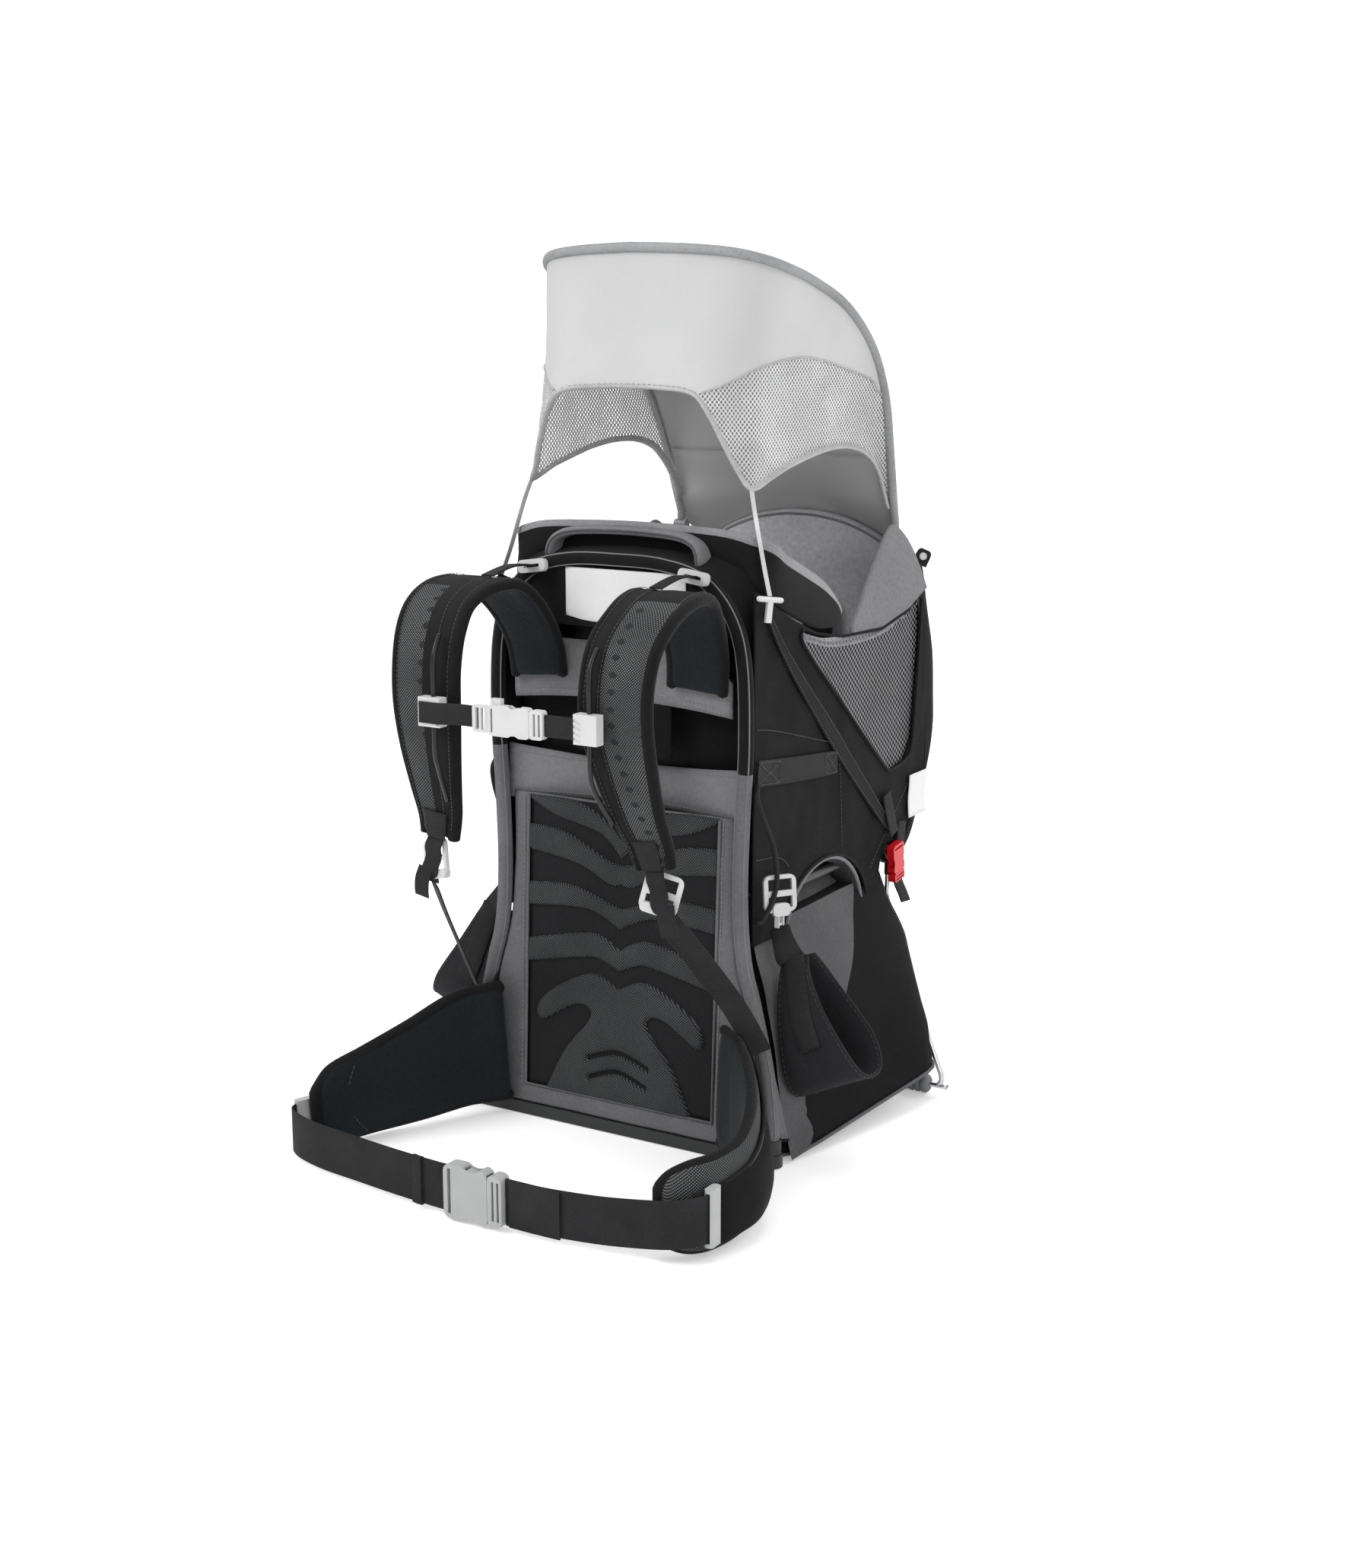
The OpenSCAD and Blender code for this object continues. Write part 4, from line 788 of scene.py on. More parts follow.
class CARRIER_OT_stage(Make, bpy.types.Operator):
    """Lay the floor, hang the lamps and set up the camera"""
    bl_idname = "carrier.stage"
    bl_label = "Stage"

    def execute(self, context):
        scene = context.scene
        scene.view_settings.view_transform = "Standard"
        dress(self.floor(), self.paper(), body=None)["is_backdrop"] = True
        for name, place, size, power, aim in (
                ("key_lamp", (-1700, -2300, 2600), 1.8, 62, (0, 60, 420)),
                ("fill_lamp", (2600, -1500, 1500), 2.2, 30, (0, 60, 380)),
                ("top_lamp", (-200, 500, 3200), 2.6, 46, (0, 100, 500)),
                ("rim_lamp", (1500, 2300, 1900), 1.6, 26, (0, 150, 500))):
            data = bpy.data.lights.new(name, "AREA")
            data.shape, data.size, data.energy = "DISK", size, power
            lamp = bpy.data.objects.new(name, data)
            scene.collection.objects.link(lamp)
            lamp.location = Vector(place) * MM
            lamp.rotation_mode = "QUATERNION"
            lamp.rotation_quaternion = (Vector(aim) * MM - lamp.location).to_track_quat("-Z", "Y")
        self.sky(scene)
        data = bpy.data.cameras.new("camera")
        data.lens, data.sensor_width, data.clip_end = 50, 36, 60
        camera = bpy.data.objects.new("camera", data)
        scene.collection.objects.link(camera)
        place, azimuth, height = Vector((1253.5, -1917.9, 892.8)), math.radians(31.4), math.radians(12.2)
        back = Vector((math.sin(azimuth) * math.cos(height), -math.cos(azimuth) * math.cos(height), math.sin(height)))
        camera.location = place * MM
        camera.rotation_mode = "QUATERNION"
        camera.rotation_quaternion = (-back).to_track_quat("-Z", "Y")
        scene.camera = camera
        return {"FINISHED"}

    def floor(self):
        """A wide sheet just under the feet, which bends up behind the carrier."""
        half_w, wall_h, sweep_r, far, under = 9000, 7000, 900, 2600, -1
        bend = [(far - sweep_r + sweep_r * math.sin(a), sweep_r + under - sweep_r * math.cos(a))
                for a in (math.pi / 16 * k for k in range(1, 9))]
        profile = [(-half_w, under), (far - sweep_r, under), *bend, (far, wall_h)]
        return woven("floor", [[Vector((x, y, z)) for x in (half_w, -half_w)] for y, z in profile])

    def paper(self):
        """Pale paper that shows white to the camera, but keeps the shadows that fall on it."""
        f = Finish("floor_paper", Roughness=0.95, Base_Color=(0.93, 0.93, 0.93), Specular_IOR_Level=0.0)
        paper = Value(f, f.shader.outputs[0])
        glow = f.node("ShaderNodeEmission", None, {"Color": (1, 1, 1, 1), "Strength": 0.3})
        path = f.node("ShaderNodeLightPath")
        seen = path.larger(path.other("Is Glossy Ray")).larger(path.other("Is Transmission Ray"))
        lit = f.node("ShaderNodeAddShader", None, {0: paper, 1: glow})
        mixed = f.node("ShaderNodeMixShader", None, {0: seen, 1: paper, 2: lit})
        f.join(f.end.inputs["Surface"], mixed)
        return f.material

    def sky(self, scene):
        """Even white light from all round."""
        world = bpy.data.worlds.new("studio")
        scene.world = world
        world.use_nodes = True
        light = world.node_tree.nodes["Background"]
        light.inputs["Color"].default_value = (1, 1, 1, 1)
        light.inputs["Strength"].default_value = 0.55


# ---- frame and back panel ----

tube_r = 8
frame_y = (low("frame_tube").y + high("frame_tube").y) / 2
base_x = high("frame_tube").x - tube_r
arch_z = high("frame_tube").z - tube_r
frame_line = whole([
    (base_x, frame_y, 14.3), (base_x, frame_y, 28), (base_x, frame_y, 42), (base_x - 6, frame_y, 100),
    (170, frame_y, 172), (157, frame_y, 222), (152, frame_y, 290), (154, frame_y, 375),
    (158, frame_y, arch_z - 184), (155, frame_y, arch_z - 99), (140, frame_y, arch_z - 50),
    (106, frame_y, arch_z - 15), (58, frame_y, arch_z - 2), (0, frame_y, arch_z)
])
mesh_half_w, mesh_low, mesh_len = 124, low("back_mesh").z, 337
back_lean = math.radians(2.6)


def on_back(u, v, off):
    """A place on the back panel: u across, v up the panel, and off its face towards the wearer."""
    s, c = math.sin(back_lean), math.cos(back_lean)
    return Vector((u, v * s - off * c, mesh_low + v * c + off * s))


def frame_half(z, gap=0.0):
    """Half the width of the room between the frame tubes at height z."""
    side = [p for p in frame_line if p[0] > 0]
    for a, b in zip(side, side[1:]):
        if a[2] <= z <= b[2]:
            return a[0] + (b[0] - a[0]) * (z - a[2]) / (b[2] - a[2]) - tube_r - gap
    return side[-1][0] - tube_r - gap


class CARRIER_OT_frame(Make, bpy.types.Operator):
    """Cover the frame tube and finish the base bar and the seat frame"""
    bl_idname = "carrier.frame"
    bl_label = "Frame"

    def execute(self, context):
        cover = tube("frame_cover", [smooth(frame_line, 8)], tube_r, 20)
        black_from = high("wide_band").z * MM
        paint(cover, ("grey_cover", "black_cloth"), lambda face: int(face.center.z > black_from))
        dress(cover, None, "frame_tube")
        line = Track(smooth(frame_line, 8), (0, 1, 0))
        seam = tube("frame_cover_seams", [
            line.line(-tube_r * math.cos(a), tube_r * math.sin(a)) for a in (0.9, -0.9)], 0.9, 6)
        dress(seam, "grey_piping")
        keep("black_base", 1.2, "base_bar")
        keep("black_plastic", 0.4, "seat_frame")
        return {"FINISHED"}


ridges = [
    ([(0, 301), (22, 318), (62, 336), (122, 337)], [(0, 277), (26, 302), (84, 315), (122, 332)]),
    ([(0, 271), (20, 275), (74, 299), (122, 303)], [(0, 249), (14, 247), (56, 265), (122, 274)]),
    ([(0, 223), (8, 224), (62, 240), (122, 237)], [(0, 198), (28, 212), (58, 216), (122, 210)]),
    ([(0, 175), (20, 187), (46, 189), (122, 172)], [(0, 151), (22, 160), (44, 161), (122, 145)]),
]
lumbar_edge = [
    (0, 131), (34, 144), (78, 125), (106, 101), (103, 80), (62, 103), (40, 104), (39, 90), (70, 52), (96, 1)
]


class CARRIER_OT_back_panel(Make, bpy.types.Operator):
    """Sew the mesh, its foam ridges, the border and the bands of the back"""
    bl_idname = "carrier.back_panel"
    bl_label = "Back panel"

    def execute(self, context):
        self.mesh()
        self.ridges()
        self.border()
        self.bands()
        self.upper_back()
        return {"FINISHED"}

    def mesh(self):
        rows = [[on_back(u, v, 1.5 * math.sin(math.pi * (u / mesh_half_w + 1) / 2) * math.sin(math.pi * v / mesh_len))
                 for u in range(-124, 125, 8)] for v in np.linspace(0, mesh_len, 40)]
        dress(thick(woven("back_mesh_cloth", rows), 1.4), "stretched_mesh", "back_mesh")

    def ridges(self):
        shapes, rise, slot_half_h = [], 5.2, 2.6
        for top, under in ridges:
            top, under = smooth(top, 5), smooth(under, 5)
            shapes.append((mirrored(top)[::-1] + top[1:] + under[::-1] + mirrored(under)[1:], ()))
        edge = smooth(lumbar_edge, 5)
        slots = []
        for y, half in ((58, 40), (36, 38)):
            arc = smooth([(-half, y - 12), (0, y), (half, y - 12)], 6)
            slots.append([(x, z + slot_half_h) for x, z in arc] + [(x, z - slot_half_h) for x, z in arc[::-1]])
        shapes.append((mirrored(edge)[::-1] + edge[1:], slots))
        for k, (shape, holes) in enumerate(shapes):
            cut = cut_out(shape, holes, 5.0, (0.8, 2.2, 4.2))
            lift = lambda u, v, e: on_back(u, v, 0.6 + rise * math.sqrt(max(0.0, 1 - (1 - min(e / 5.0, 1)) ** 2))
                                           + 0.5 * noise.noise(Vector((u, v, 0)) / 30))
            ridge = dress(panel(f"foam_ridge_{k + 1}", cut, lift), "foam_mesh")
        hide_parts("back_foam")

    def border(self):
        top = high("back_border").z
        bottom = mesh_low - 20
        side = [(frame_half(z, 2.6), (z - mesh_low) / math.cos(back_lean)) for z in np.linspace(bottom, top, 24)]
        outline = side + mirrored(side)[::-1]
        m = mesh_half_w - 1
        hole = [(-m, 2), (m, 2), (m, mesh_len - 2), (-m, mesh_len - 2)]
        cut = cut_out(outline, [hole], 9.0, (1.5, 4.0))
        place = lambda u, v, e: on_back(u, v, 1.5 + 1.6 * min(e / 4, 1) ** 0.5 + crumple((u, v, 0), 45, 0.8, 3))
        dress(thick(panel("back_border_cloth", cut, place), 3), "grey_cloth", "back_border")
        inner = [on_back(u, v, 3.2) for u, v in ((-m, mesh_len - 2), (-m, 2), (m, 2), (m, mesh_len - 2))]
        dress(tube("mesh_binding", [inner], 2.0, 8), "grey_cloth")
        lines = [[on_back(s * (m + 5), v, 3.9) for v in range(0, 338, 8)] for s in (-1, 1)]
        dress(stitches("border_stitches", lines, length=sizes().stitch / MM), "grey_thread")

    def bands(self):
        def band(name, node, body, lower, upper, half, sag, front, seed):
            rows = []
            for v in shares(9):
                row = []
                for u in np.linspace(-1, 1, 41):
                    x = half * u
                    z = lower(x) + (upper(x) - lower(x)) * v
                    bulge = 1.4 * (1 - abs(2 * v - 1) ** 4)
                    y = front + sag * (1 - u * u) - bulge - crumple((x, 0, z), 40, 0.7, seed)
                    row.append(Vector((x, y, z)))
                rows.append(row)
            dress(thick(woven(name, rows), 3.2), "band_cloth", node, body=body)
            lines = [[p + Vector((0, -0.5, 0)) for p in rows[k]] for k in (1, 7)]
            dress(stitches(name + "_stitches", lines), "grey_thread", body=body)

        band("wide_band_cloth", "wide_band", "pack", lambda x: low("wide_band").z - 10 - 3 * (abs(x) / 150) ** 2,
             lambda x: high("wide_band").z - 12 * (1 - (x / 150) ** 2), 150, 26, low("wide_band").y, 1)
        band("yoke_cloth", "shoulder_yoke", "harness", lambda x: 488 - 8 * (abs(x) / 136) ** 2,
             lambda x: 549 - 34 * (max(abs(x) - 100, 0) / 40) ** 1.2, 138, 2.0, low("shoulder_yoke").y + 1.0, 5)

    def upper_back(self):
        board_low, board_high = low("torso_board"), high("torso_board")
        rows = [[Vector((x, board_low.y + 0.4, z)) for x in np.linspace(-60, 60, 13)]
                for z in np.linspace(board_low.z, board_high.z, 24)]
        dress(thick(woven("torso_board_cover", rows), 3.4), "board_cloth", "torso_board")
        wall_low, wall_high = low("front_wall"), high("front_wall")
        rows = [[Vector((x, wall_low.y + 0.6 + crumple((x, 0, z), 60, 1.0, 7), z))
                 for x in np.linspace(wall_low.x, wall_high.x, 33)]
                for z in np.linspace(wall_low.z, wall_high.z, 30)]
        dress(thick(woven("front_wall_cloth", rows), 1.6), "body_cloth", "front_wall")
        zs = np.linspace(low("top_panel").z, high("top_panel").z - 1, 14)
        outline = [(frame_half(z, 0.4), z) for z in zs]
        outline = outline + mirrored(outline)[::-1]
        y = low("top_panel").y
        cut = cut_out(outline, (), 8.0, (2.0,))
        face = lambda u, v, e: Vector((u, y + 0.4 + crumple((u, 0, v), 50, 0.9, 11), v))
        dress(thick(panel("top_panel_cloth", cut, face), 2.2), "black_lining", "top_panel")
        patch_y, tag_x = low("blank_patches").y, high("blank_patches").x
        x0, x1, z0, z1 = -65, 86, arch_z - 68, arch_z - 11
        outline = ([(x, z0 + 5 - 9 * math.sin(math.pi * (x - x0) / (x1 - x0))) for x in np.linspace(x0, x1, 14)]
                   + [(x1, z1), (x0, z1)])
        outline = [(x, max(z, z0)) for x, z in outline]
        cut = cut_out(outline, (), 8.0, (1.5,))
        face = lambda u, v, e: Vector((u, patch_y + 0.5 - 0.3 * min(e, 1.5), v))
        dress(thick(panel("blank_patch", cut, face), 0.6), "white_patch_cloth")
        rows = [[Vector((tag_x + 1.6 + 0.7 * math.sin(z / 9), y, z)) for y in np.linspace(384, 430, 8)]
                for z in np.linspace(304, 356, 9)]
        dress(thick(woven("blank_tag", rows), 0.6), "white_patch_cloth", "blank_patches")


# ---- pads and straps ----

def both(*makes):
    """Makes each piece for the right side and for the left."""
    for make in makes:
        for s, side in SIDES:
            make(s, side)


def sided(s, *points, width=None):
    """A path on one side, where s is 1 for the right and -1 for the left; width is that of the whole path."""
    wide = () if width is None else (width,)
    return [(s * p[0], *p[1:], *wide) for p in points]


def of_left(s, node):
    """The solid of both sides, which only the left piece names."""
    return node if s < 0 else ()


def padded_ring(half_w, half_t, points, square=4.0):
    """The outline of a pad's section: boxy across, and rounded at its edges."""
    ring = []
    for k in range(points):
        c, s = math.cos(math.tau * k / points), math.sin(math.tau * k / points)
        ring.append((math.copysign(abs(c) ** (2 / square), c) * half_w,
                     math.copysign(abs(s) ** (2 / 2.4), s) * half_t))
    return ring


class Pad:
    """A long pad along a path whose points carry their width.

    Its ends taper over the length ends, and seams are pressed in at shares of its half width, groove deep.
    """

    def __init__(self, name, path, side, thickness, points=36, seams=(), groove=1.6, ends=7):
        self.track, self.points, self.seams, self.rows = Track(path, side), points, seams, []
        far = self.track.far
        self.spots = [(c / (path[0][3] / 2), s) for c, s in padded_ring(path[0][3] / 2, 1, points)]
        for i, p in enumerate(path):
            ease = min(1.0, min(far[i], far[-1] - far[i]) / ends) if ends else 1.0
            slim = math.sqrt(max(0.08, 1 - (1 - ease) ** 2))
            row = []
            half_w, groove_w = p[3] / 2, 2.2
            for c, s in padded_ring(half_w - 0.6 - (1 - slim) * 3, thickness / 2 * slim, points):
                dip = sum(groove * math.exp(-((c / half_w - m) * half_w / groove_w) ** 2) for m in seams)
                row.append(self.track.point(i, c, s - math.copysign(min(dip, abs(s)), s)))
            self.rows.append(row)
        self.thing = woven(name, self.rows, ring=True, ends=True)

    def sewn(self, i):
        """Whether a point of the mesh is held by the binding, a seam or an end."""
        bound, near = 0.93, 0.06
        row, k = divmod(i, self.points)
        across = self.spots[k][0]
        held = abs(across) > bound or row in (0, 1, len(self.rows) - 2, len(self.rows) - 1)
        return held or any(abs(across - m) < near for m in self.seams)

    def paint(self, names, choose):
        """Gives each face one of several finishes; choose(row, across, off) returns its number."""
        def chosen(face):
            row, k = divmod(face.vertices[0], self.points)
            return choose(row, *self.spots[k])
        paint(self.thing, names, chosen)

    def edge(self, way, rise=0.0, first=0, last=None, inset=0.4):
        """The line of one bound edge; way is 1 or -1."""
        return self.track.line(lambda p: way * (p[3] / 2 - inset), rise, first, last)


def strap(name, path, side, thickness=1.8, steps=6):
    """Webbing along a path whose points carry their width; gives the piece and its track."""
    track = Track(smooth(path, steps), side)
    h, bevel = thickness / 2, 0.9
    rows = []
    for i, p in enumerate(track.path):
        w = p[3] / 2
        half = [(w, -h * 0.4), (w, h * 0.4), (w - bevel, h), (w * 0.33, h), (-w * 0.33, h), (bevel - w, h)]
        rows.append([track.point(i, x, y) for x, y in half + [(-x, -y) for x, y in half]])
    thing = woven(name, rows, ring=True, ends=True)
    thing.data.set_sharp_from_angle(angle=math.radians(60))
    return thing, track


def belt(name, path, side, thickness=1.8, steps=6, nodes=(), body="pack"):
    """A strap of dark webbing."""
    return dress(strap(name, path, side, thickness, steps)[0], "black_webbing", nodes, body)


def box_stitch(track, first, last, off, inset=2.5):
    """The lines of a sewn rectangle with a cross, between two points of a strap."""
    w = track.path[first][3] / 2 - inset
    corner = lambda i, way: track.point(i, way * w, off)
    a, b, c, d = corner(first, -1), corner(first, 1), corner(last, 1), corner(last, -1)
    return [[a, b], [b, c], [c, d], [d, a], [a, c], [b, d]]


# ---- seat ----

side_x = high("side_panel_right").x
wrap_half_w, wrap_t = 152, 20
wrap_y, wrap_top = high("seat_wrap").y, high("seat_wrap").z
rim_z = 550
drool_line = whole([
    (158.3, 207, 562, 16), (158.3, 194, 571, 34), (158.3, 160, 585, 54), (158.3, 110, 605, 58),
    (158.3, 70, 622, 56), (153.3, 51.3, 638, 48), (138.3, 43.3, 648, 40), (102.3, 41.3, 657, 34),
    (0, 41.3, 661, 32)
])
wrap_line = whole([
    (wrap_half_w, 110, rim_z + 16), (wrap_half_w, 160, rim_z + 2), (wrap_half_w, 212, rim_z - 9),
    (wrap_half_w, 300, rim_z - 12), (153, wrap_y - 48, rim_z - 2), (154, wrap_y - 8, rim_z + 20),
    (148, wrap_y + 12, rim_z + 42), (131, wrap_y + 16, rim_z + 64), (106, wrap_y + 16, rim_z + 86),
    (66, wrap_y + 16, wrap_top - 11), (25, wrap_y + 15, wrap_top - 3), (0, wrap_y + 15, wrap_top - 2)
])


class CARRIER_OT_seat(Make, bpy.types.Operator):
    """Fill the drool pad, the seat wrap and the saddle, and sew the child's harness"""
    bl_idname = "carrier.seat"
    bl_label = "Seat"

    def execute(self, context):
        self.drool_pad()
        self.wrap()
        both(self.wrap_wing)
        self.saddle()
        self.child_harness()
        self.handle()
        self.lid()
        return {"FINISHED"}

    def drool_pad(self):
        pad = Pad("drool_pad_cloth", smooth(drool_line, 5), (0, 0, 1), 12.0, seams=(0.5,), groove=1.2)
        pad.paint(("black_cloth", "grey_edge"), lambda row, across, off: int(across > 0.5))
        stuffed(pad.thing, pad.sewn, pressure=sizes().filling * 0.8, most=3.0)
        dress(pad.thing, "black_cloth", "drool_pad")

    def wrap(self):
        """The padded wall: each row goes up the inside, over the rim and down the outside."""
        bottom, line = low("seat_wrap").z + 1, smooth(wrap_line, 6)
        climb, over = 16, 6
        crest = climb + over - 1
        rows = []
        for i, p in enumerate(line):
            a, b = line[max(i - 1, 0)], line[min(i + 1, len(line) - 1)]
            way = Vector((b[0] - a[0], b[1] - a[1], 0)).normalized()
            out = way.cross(UP)
            r, top = wrap_t / 2, p[2]
            profile = [(-wrap_t + 1.5 + 2.5 * math.sin(math.pi * v), bottom + (top - r - bottom) * v)
                       for v in shares(climb)]
            profile += [(-r - (r - 1) * math.cos(turn), top - r + (r - 0.5) * math.sin(turn))
                        for turn in (math.pi * k / (over + 1) for k in range(1, over + 1))]
            profile += [(-0.6, top - r - (top - r - bottom) * v) for v in shares(climb)]
            rows.append([Vector((p[0], p[1], 0)) + out * n + Vector((0, 0, z))
                         + out * crumple((p[0], p[1], z), 70, 0.9, 21) for n, z in profile])
        wall = woven("seat_wrap_cloth", rows, ring=True, ends=True)
        wide = len(rows[0])
        paint(wall, ("lining", "black_cloth"),
              lambda face: int(len(face.vertices) == 4 and face.vertices[0] % wide > crest))
        sewn = (0, 1, climb - 1, climb, crest, crest + 1, wide - 1)
        stuffed(wall, lambda i: i % wide in sewn or i < wide or i >= (len(rows) - 1) * wide,
                pressure=sizes().filling * 0.5, most=3.0)
        # painted light: the wrap's lining is lighter than its cloth, to offset the shade inside the wrap
        dress(wall, "lining", "seat_wrap")
        rim = [[row[k] for row in rows] for k in (climb, crest)]
        dress(tube("seat_wrap_piping", rim, piping_r(), 8), "lining_piping")

    def wrap_wing(self, s, side):
        """The side of the wrap, which stands up outside the socket of the sunshade; its lining is painted darker as
        shade, because the lamps light it directly.
        """
        rows, t, left_lower = [], 2.3, 10
        for y, top in smooth([(236, rim_z + 2), (262, rim_z + 36), (296, rim_z + 80), (331, rim_z + 107),
                              (360, rim_z + 97), (389, rim_z + 75), (414, rim_z + 46), (427, rim_z + 28)], 4):
            foot = float(np.interp(y, (212, 310, 380, 430), (545, 542, 556, 576))) + 0.5
            top = max(top - (0 if s > 0 else left_lower), foot + t + 1)
            up = [(-t, foot + (top - t - foot) * v) for v in shares(9)]
            over = [(-t * math.cos(a), top - t + t * math.sin(a)) for a in (0.7, 1.4, 2.2)]
            profile = up + over + [(-n, z) for n, z in up[::-1]]
            rows.append([Vector((s * (side_x - 2.6 + n + crumple((s * 9, y, z), 50, 0.5, 26)), y, z))
                         for n, z in profile])
        thing = woven(f"seat_wrap_wing_{side}", rows if s > 0 else rows[::-1], ring=True, ends=True)
        # painted shade: the wing gets a darker copy of the wrap's lining
        dress(thing, "wing_lining")

    def saddle(self):
        front, back, z = low("seat_saddle").y, high("seat_saddle").y, 305
        path = smooth([(0, front + 3, z + 48, 146), (0, front + 13, z + 18, 146), (0, front + 60, z, 148),
                       (0, back - 90, z - 2, 148), (0, back - 27, z + 10, 146), (0, back - 3, z + 38, 146)], 6)
        pad = Pad("saddle_cloth", path, (1, 0, 0), 17.0, seams=(-0.5, 0.5), groove=3.0)
        stuffed(pad.thing, pad.sewn, pressure=sizes().filling, most=5.0)
        dress(pad.thing, "saddle_lining", "seat_saddle")

    def child_harness(self):
        back = wrap_y - wrap_t + 6
        for s, side in SIDES:
            path = sided(s, (34, back - 4, 552, 38), (36, back - 5, 515, 38), (34, back - 10, 470, 36),
                         (25, back - 30, 430, 24))
            pad = Pad(f"child_strap_pad_{side}", smooth(path, 6), (1, 0, 0), 6.0, points=20)
            dress(pad.thing, "harness_pad_cloth")
            dress(tube(f"child_strap_binding_{side}", [pad.edge(1), pad.edge(-1)], 1.6, 8),
                  "black_webbing")
        belt("crotch_strap", [(0, back - 46, 401, 24), (0, back - 66, 360, 24), (0, back - 84, 317, 24)], (1, 0, 0), 3)
        rows = []
        for v in shares(9):
            swell = math.sin(math.pi * (0.12 + 0.76 * v)) ** 0.5
            w, t = 25 * swell * (1 - 0.12 * v), 7.5 * swell * (1 - 0.2 * v)
            rows.append([Vector((x, back - 39.5 + y, 402 + 25 * v)) for x, y in padded_ring(w, t, 28, 5.0)])
        buckle = woven("child_buckle", rows, ring=True, ends=True)
        dress(buckle, "black_plastic", "child_harness")

    def handle(self):
        y, d = (low("haul_handle").y + high("haul_handle").y) / 2, 20
        path = smooth(whole([(94, y, arch_z - 4, d + 10), (93, y, arch_z + 9, d + 7), (84, y, arch_z + 20, d + 3),
                             (60, y, arch_z + 26.5, d), (0, y, arch_z + 29, d)]), 8)
        grip = Pad("haul_handle_cloth", path, (0, 1, 0), 9.4, points=28)
        dress(grip.thing, "handle_cloth", "haul_handle")
        dress(tube("haul_handle_seams", [grip.edge(1), grip.edge(-1)], 1.2, 8), "dark_binding")

    def lid(self):
        """The cloth over the bag, from its rim up to the saddle, and the cloth behind the handle."""
        saddle_half_w, rim_w, top = high("seat_saddle").x - 4, 148, high("lower_bag").z
        rows = []
        for v in shares(12):
            ring = []
            for turn in np.linspace(0, math.tau, 65)[:-1]:
                x, y = (math.copysign(abs(math.cos(turn)) ** 0.5, math.cos(turn)),
                        math.copysign(abs(math.sin(turn)) ** 0.5, math.sin(turn)))
                outer = Vector((x * rim_w, 182 + y * 145, top - 3))
                inner = Vector((x * saddle_half_w, 195 + y * 112, 293))
                p = outer.lerp(inner, v)
                ring.append(p + Vector((0, 0, 8 * math.sin(math.pi * v) + crumple(p, 45, 2.0, 23))))
            rows.append(ring)
        thing = woven("bag_cover", rows, ring=True)
        dress(thick(thing, 1.2), "grey_gusset")
        rows = []
        for x in np.linspace(-157, 157, 61):
            far = abs(x)
            drop = np.interp(far, (0, 58, 106, 130, 140, 150, 157), (6, 4, -8, -30, -60, -100, -120))
            near = Vector((x, np.interp(far, (0, 106, 140, 157), (6, 7, 10, 15)), arch_z + drop))
            back = Vector((x, np.interp(far, (0, 102, 138, 153, 158), (40, 40, 42, 50, 69)),
                           np.interp(far, (0, 102, 138, 153, 158), (650, 645, 633, 619, 600))))
            rows.append([near.lerp(back, v)
                         + Vector((0, 0, crumple((x, v * 40, 0), 30, 1.2, 24) * math.sin(math.pi * v)))
                         for v in shares(8)])
        dress(thick(woven("top_cover", rows), 1.2), "black_cloth")


# ---- side panels, shell and bag ----

def panel_end(z):
    """Where the side panels end towards the rear, at height z."""
    return min(wrap_y + 20, 364 + (z - 266) * 0.767)


front_y = 14.3
panel_edge = [
    (front_y, 236), (308, 236), (321, 283), (panel_end(283), 283), (wrap_y + 20, 352),
    (wrap_y + 20, rim_z + 26), (wrap_y - 30, rim_z + 6), (310, rim_z - 8), (212, rim_z - 5),
    (150, rim_z + 6), (99, rim_z + 25), (59, rim_z + 43), (48, 601), (front_y + 12, 610), (front_y, 614)
]
window_edge = [
    (118, rim_z + 13), (150, rim_z + 3), (212, rim_z - 8), (310, rim_z - 11), (378, rim_z + 2), (410, rim_z + 15),
    (408, 520), (394, 400), (376, 377), (340, 371), (318, 380), (222, 460), (120, 545)
]
leg_arch = [(176 + 104 * math.cos(a), 220 + 80 * math.sin(a))
            for a in np.linspace(math.radians(9), math.radians(171), 26)]


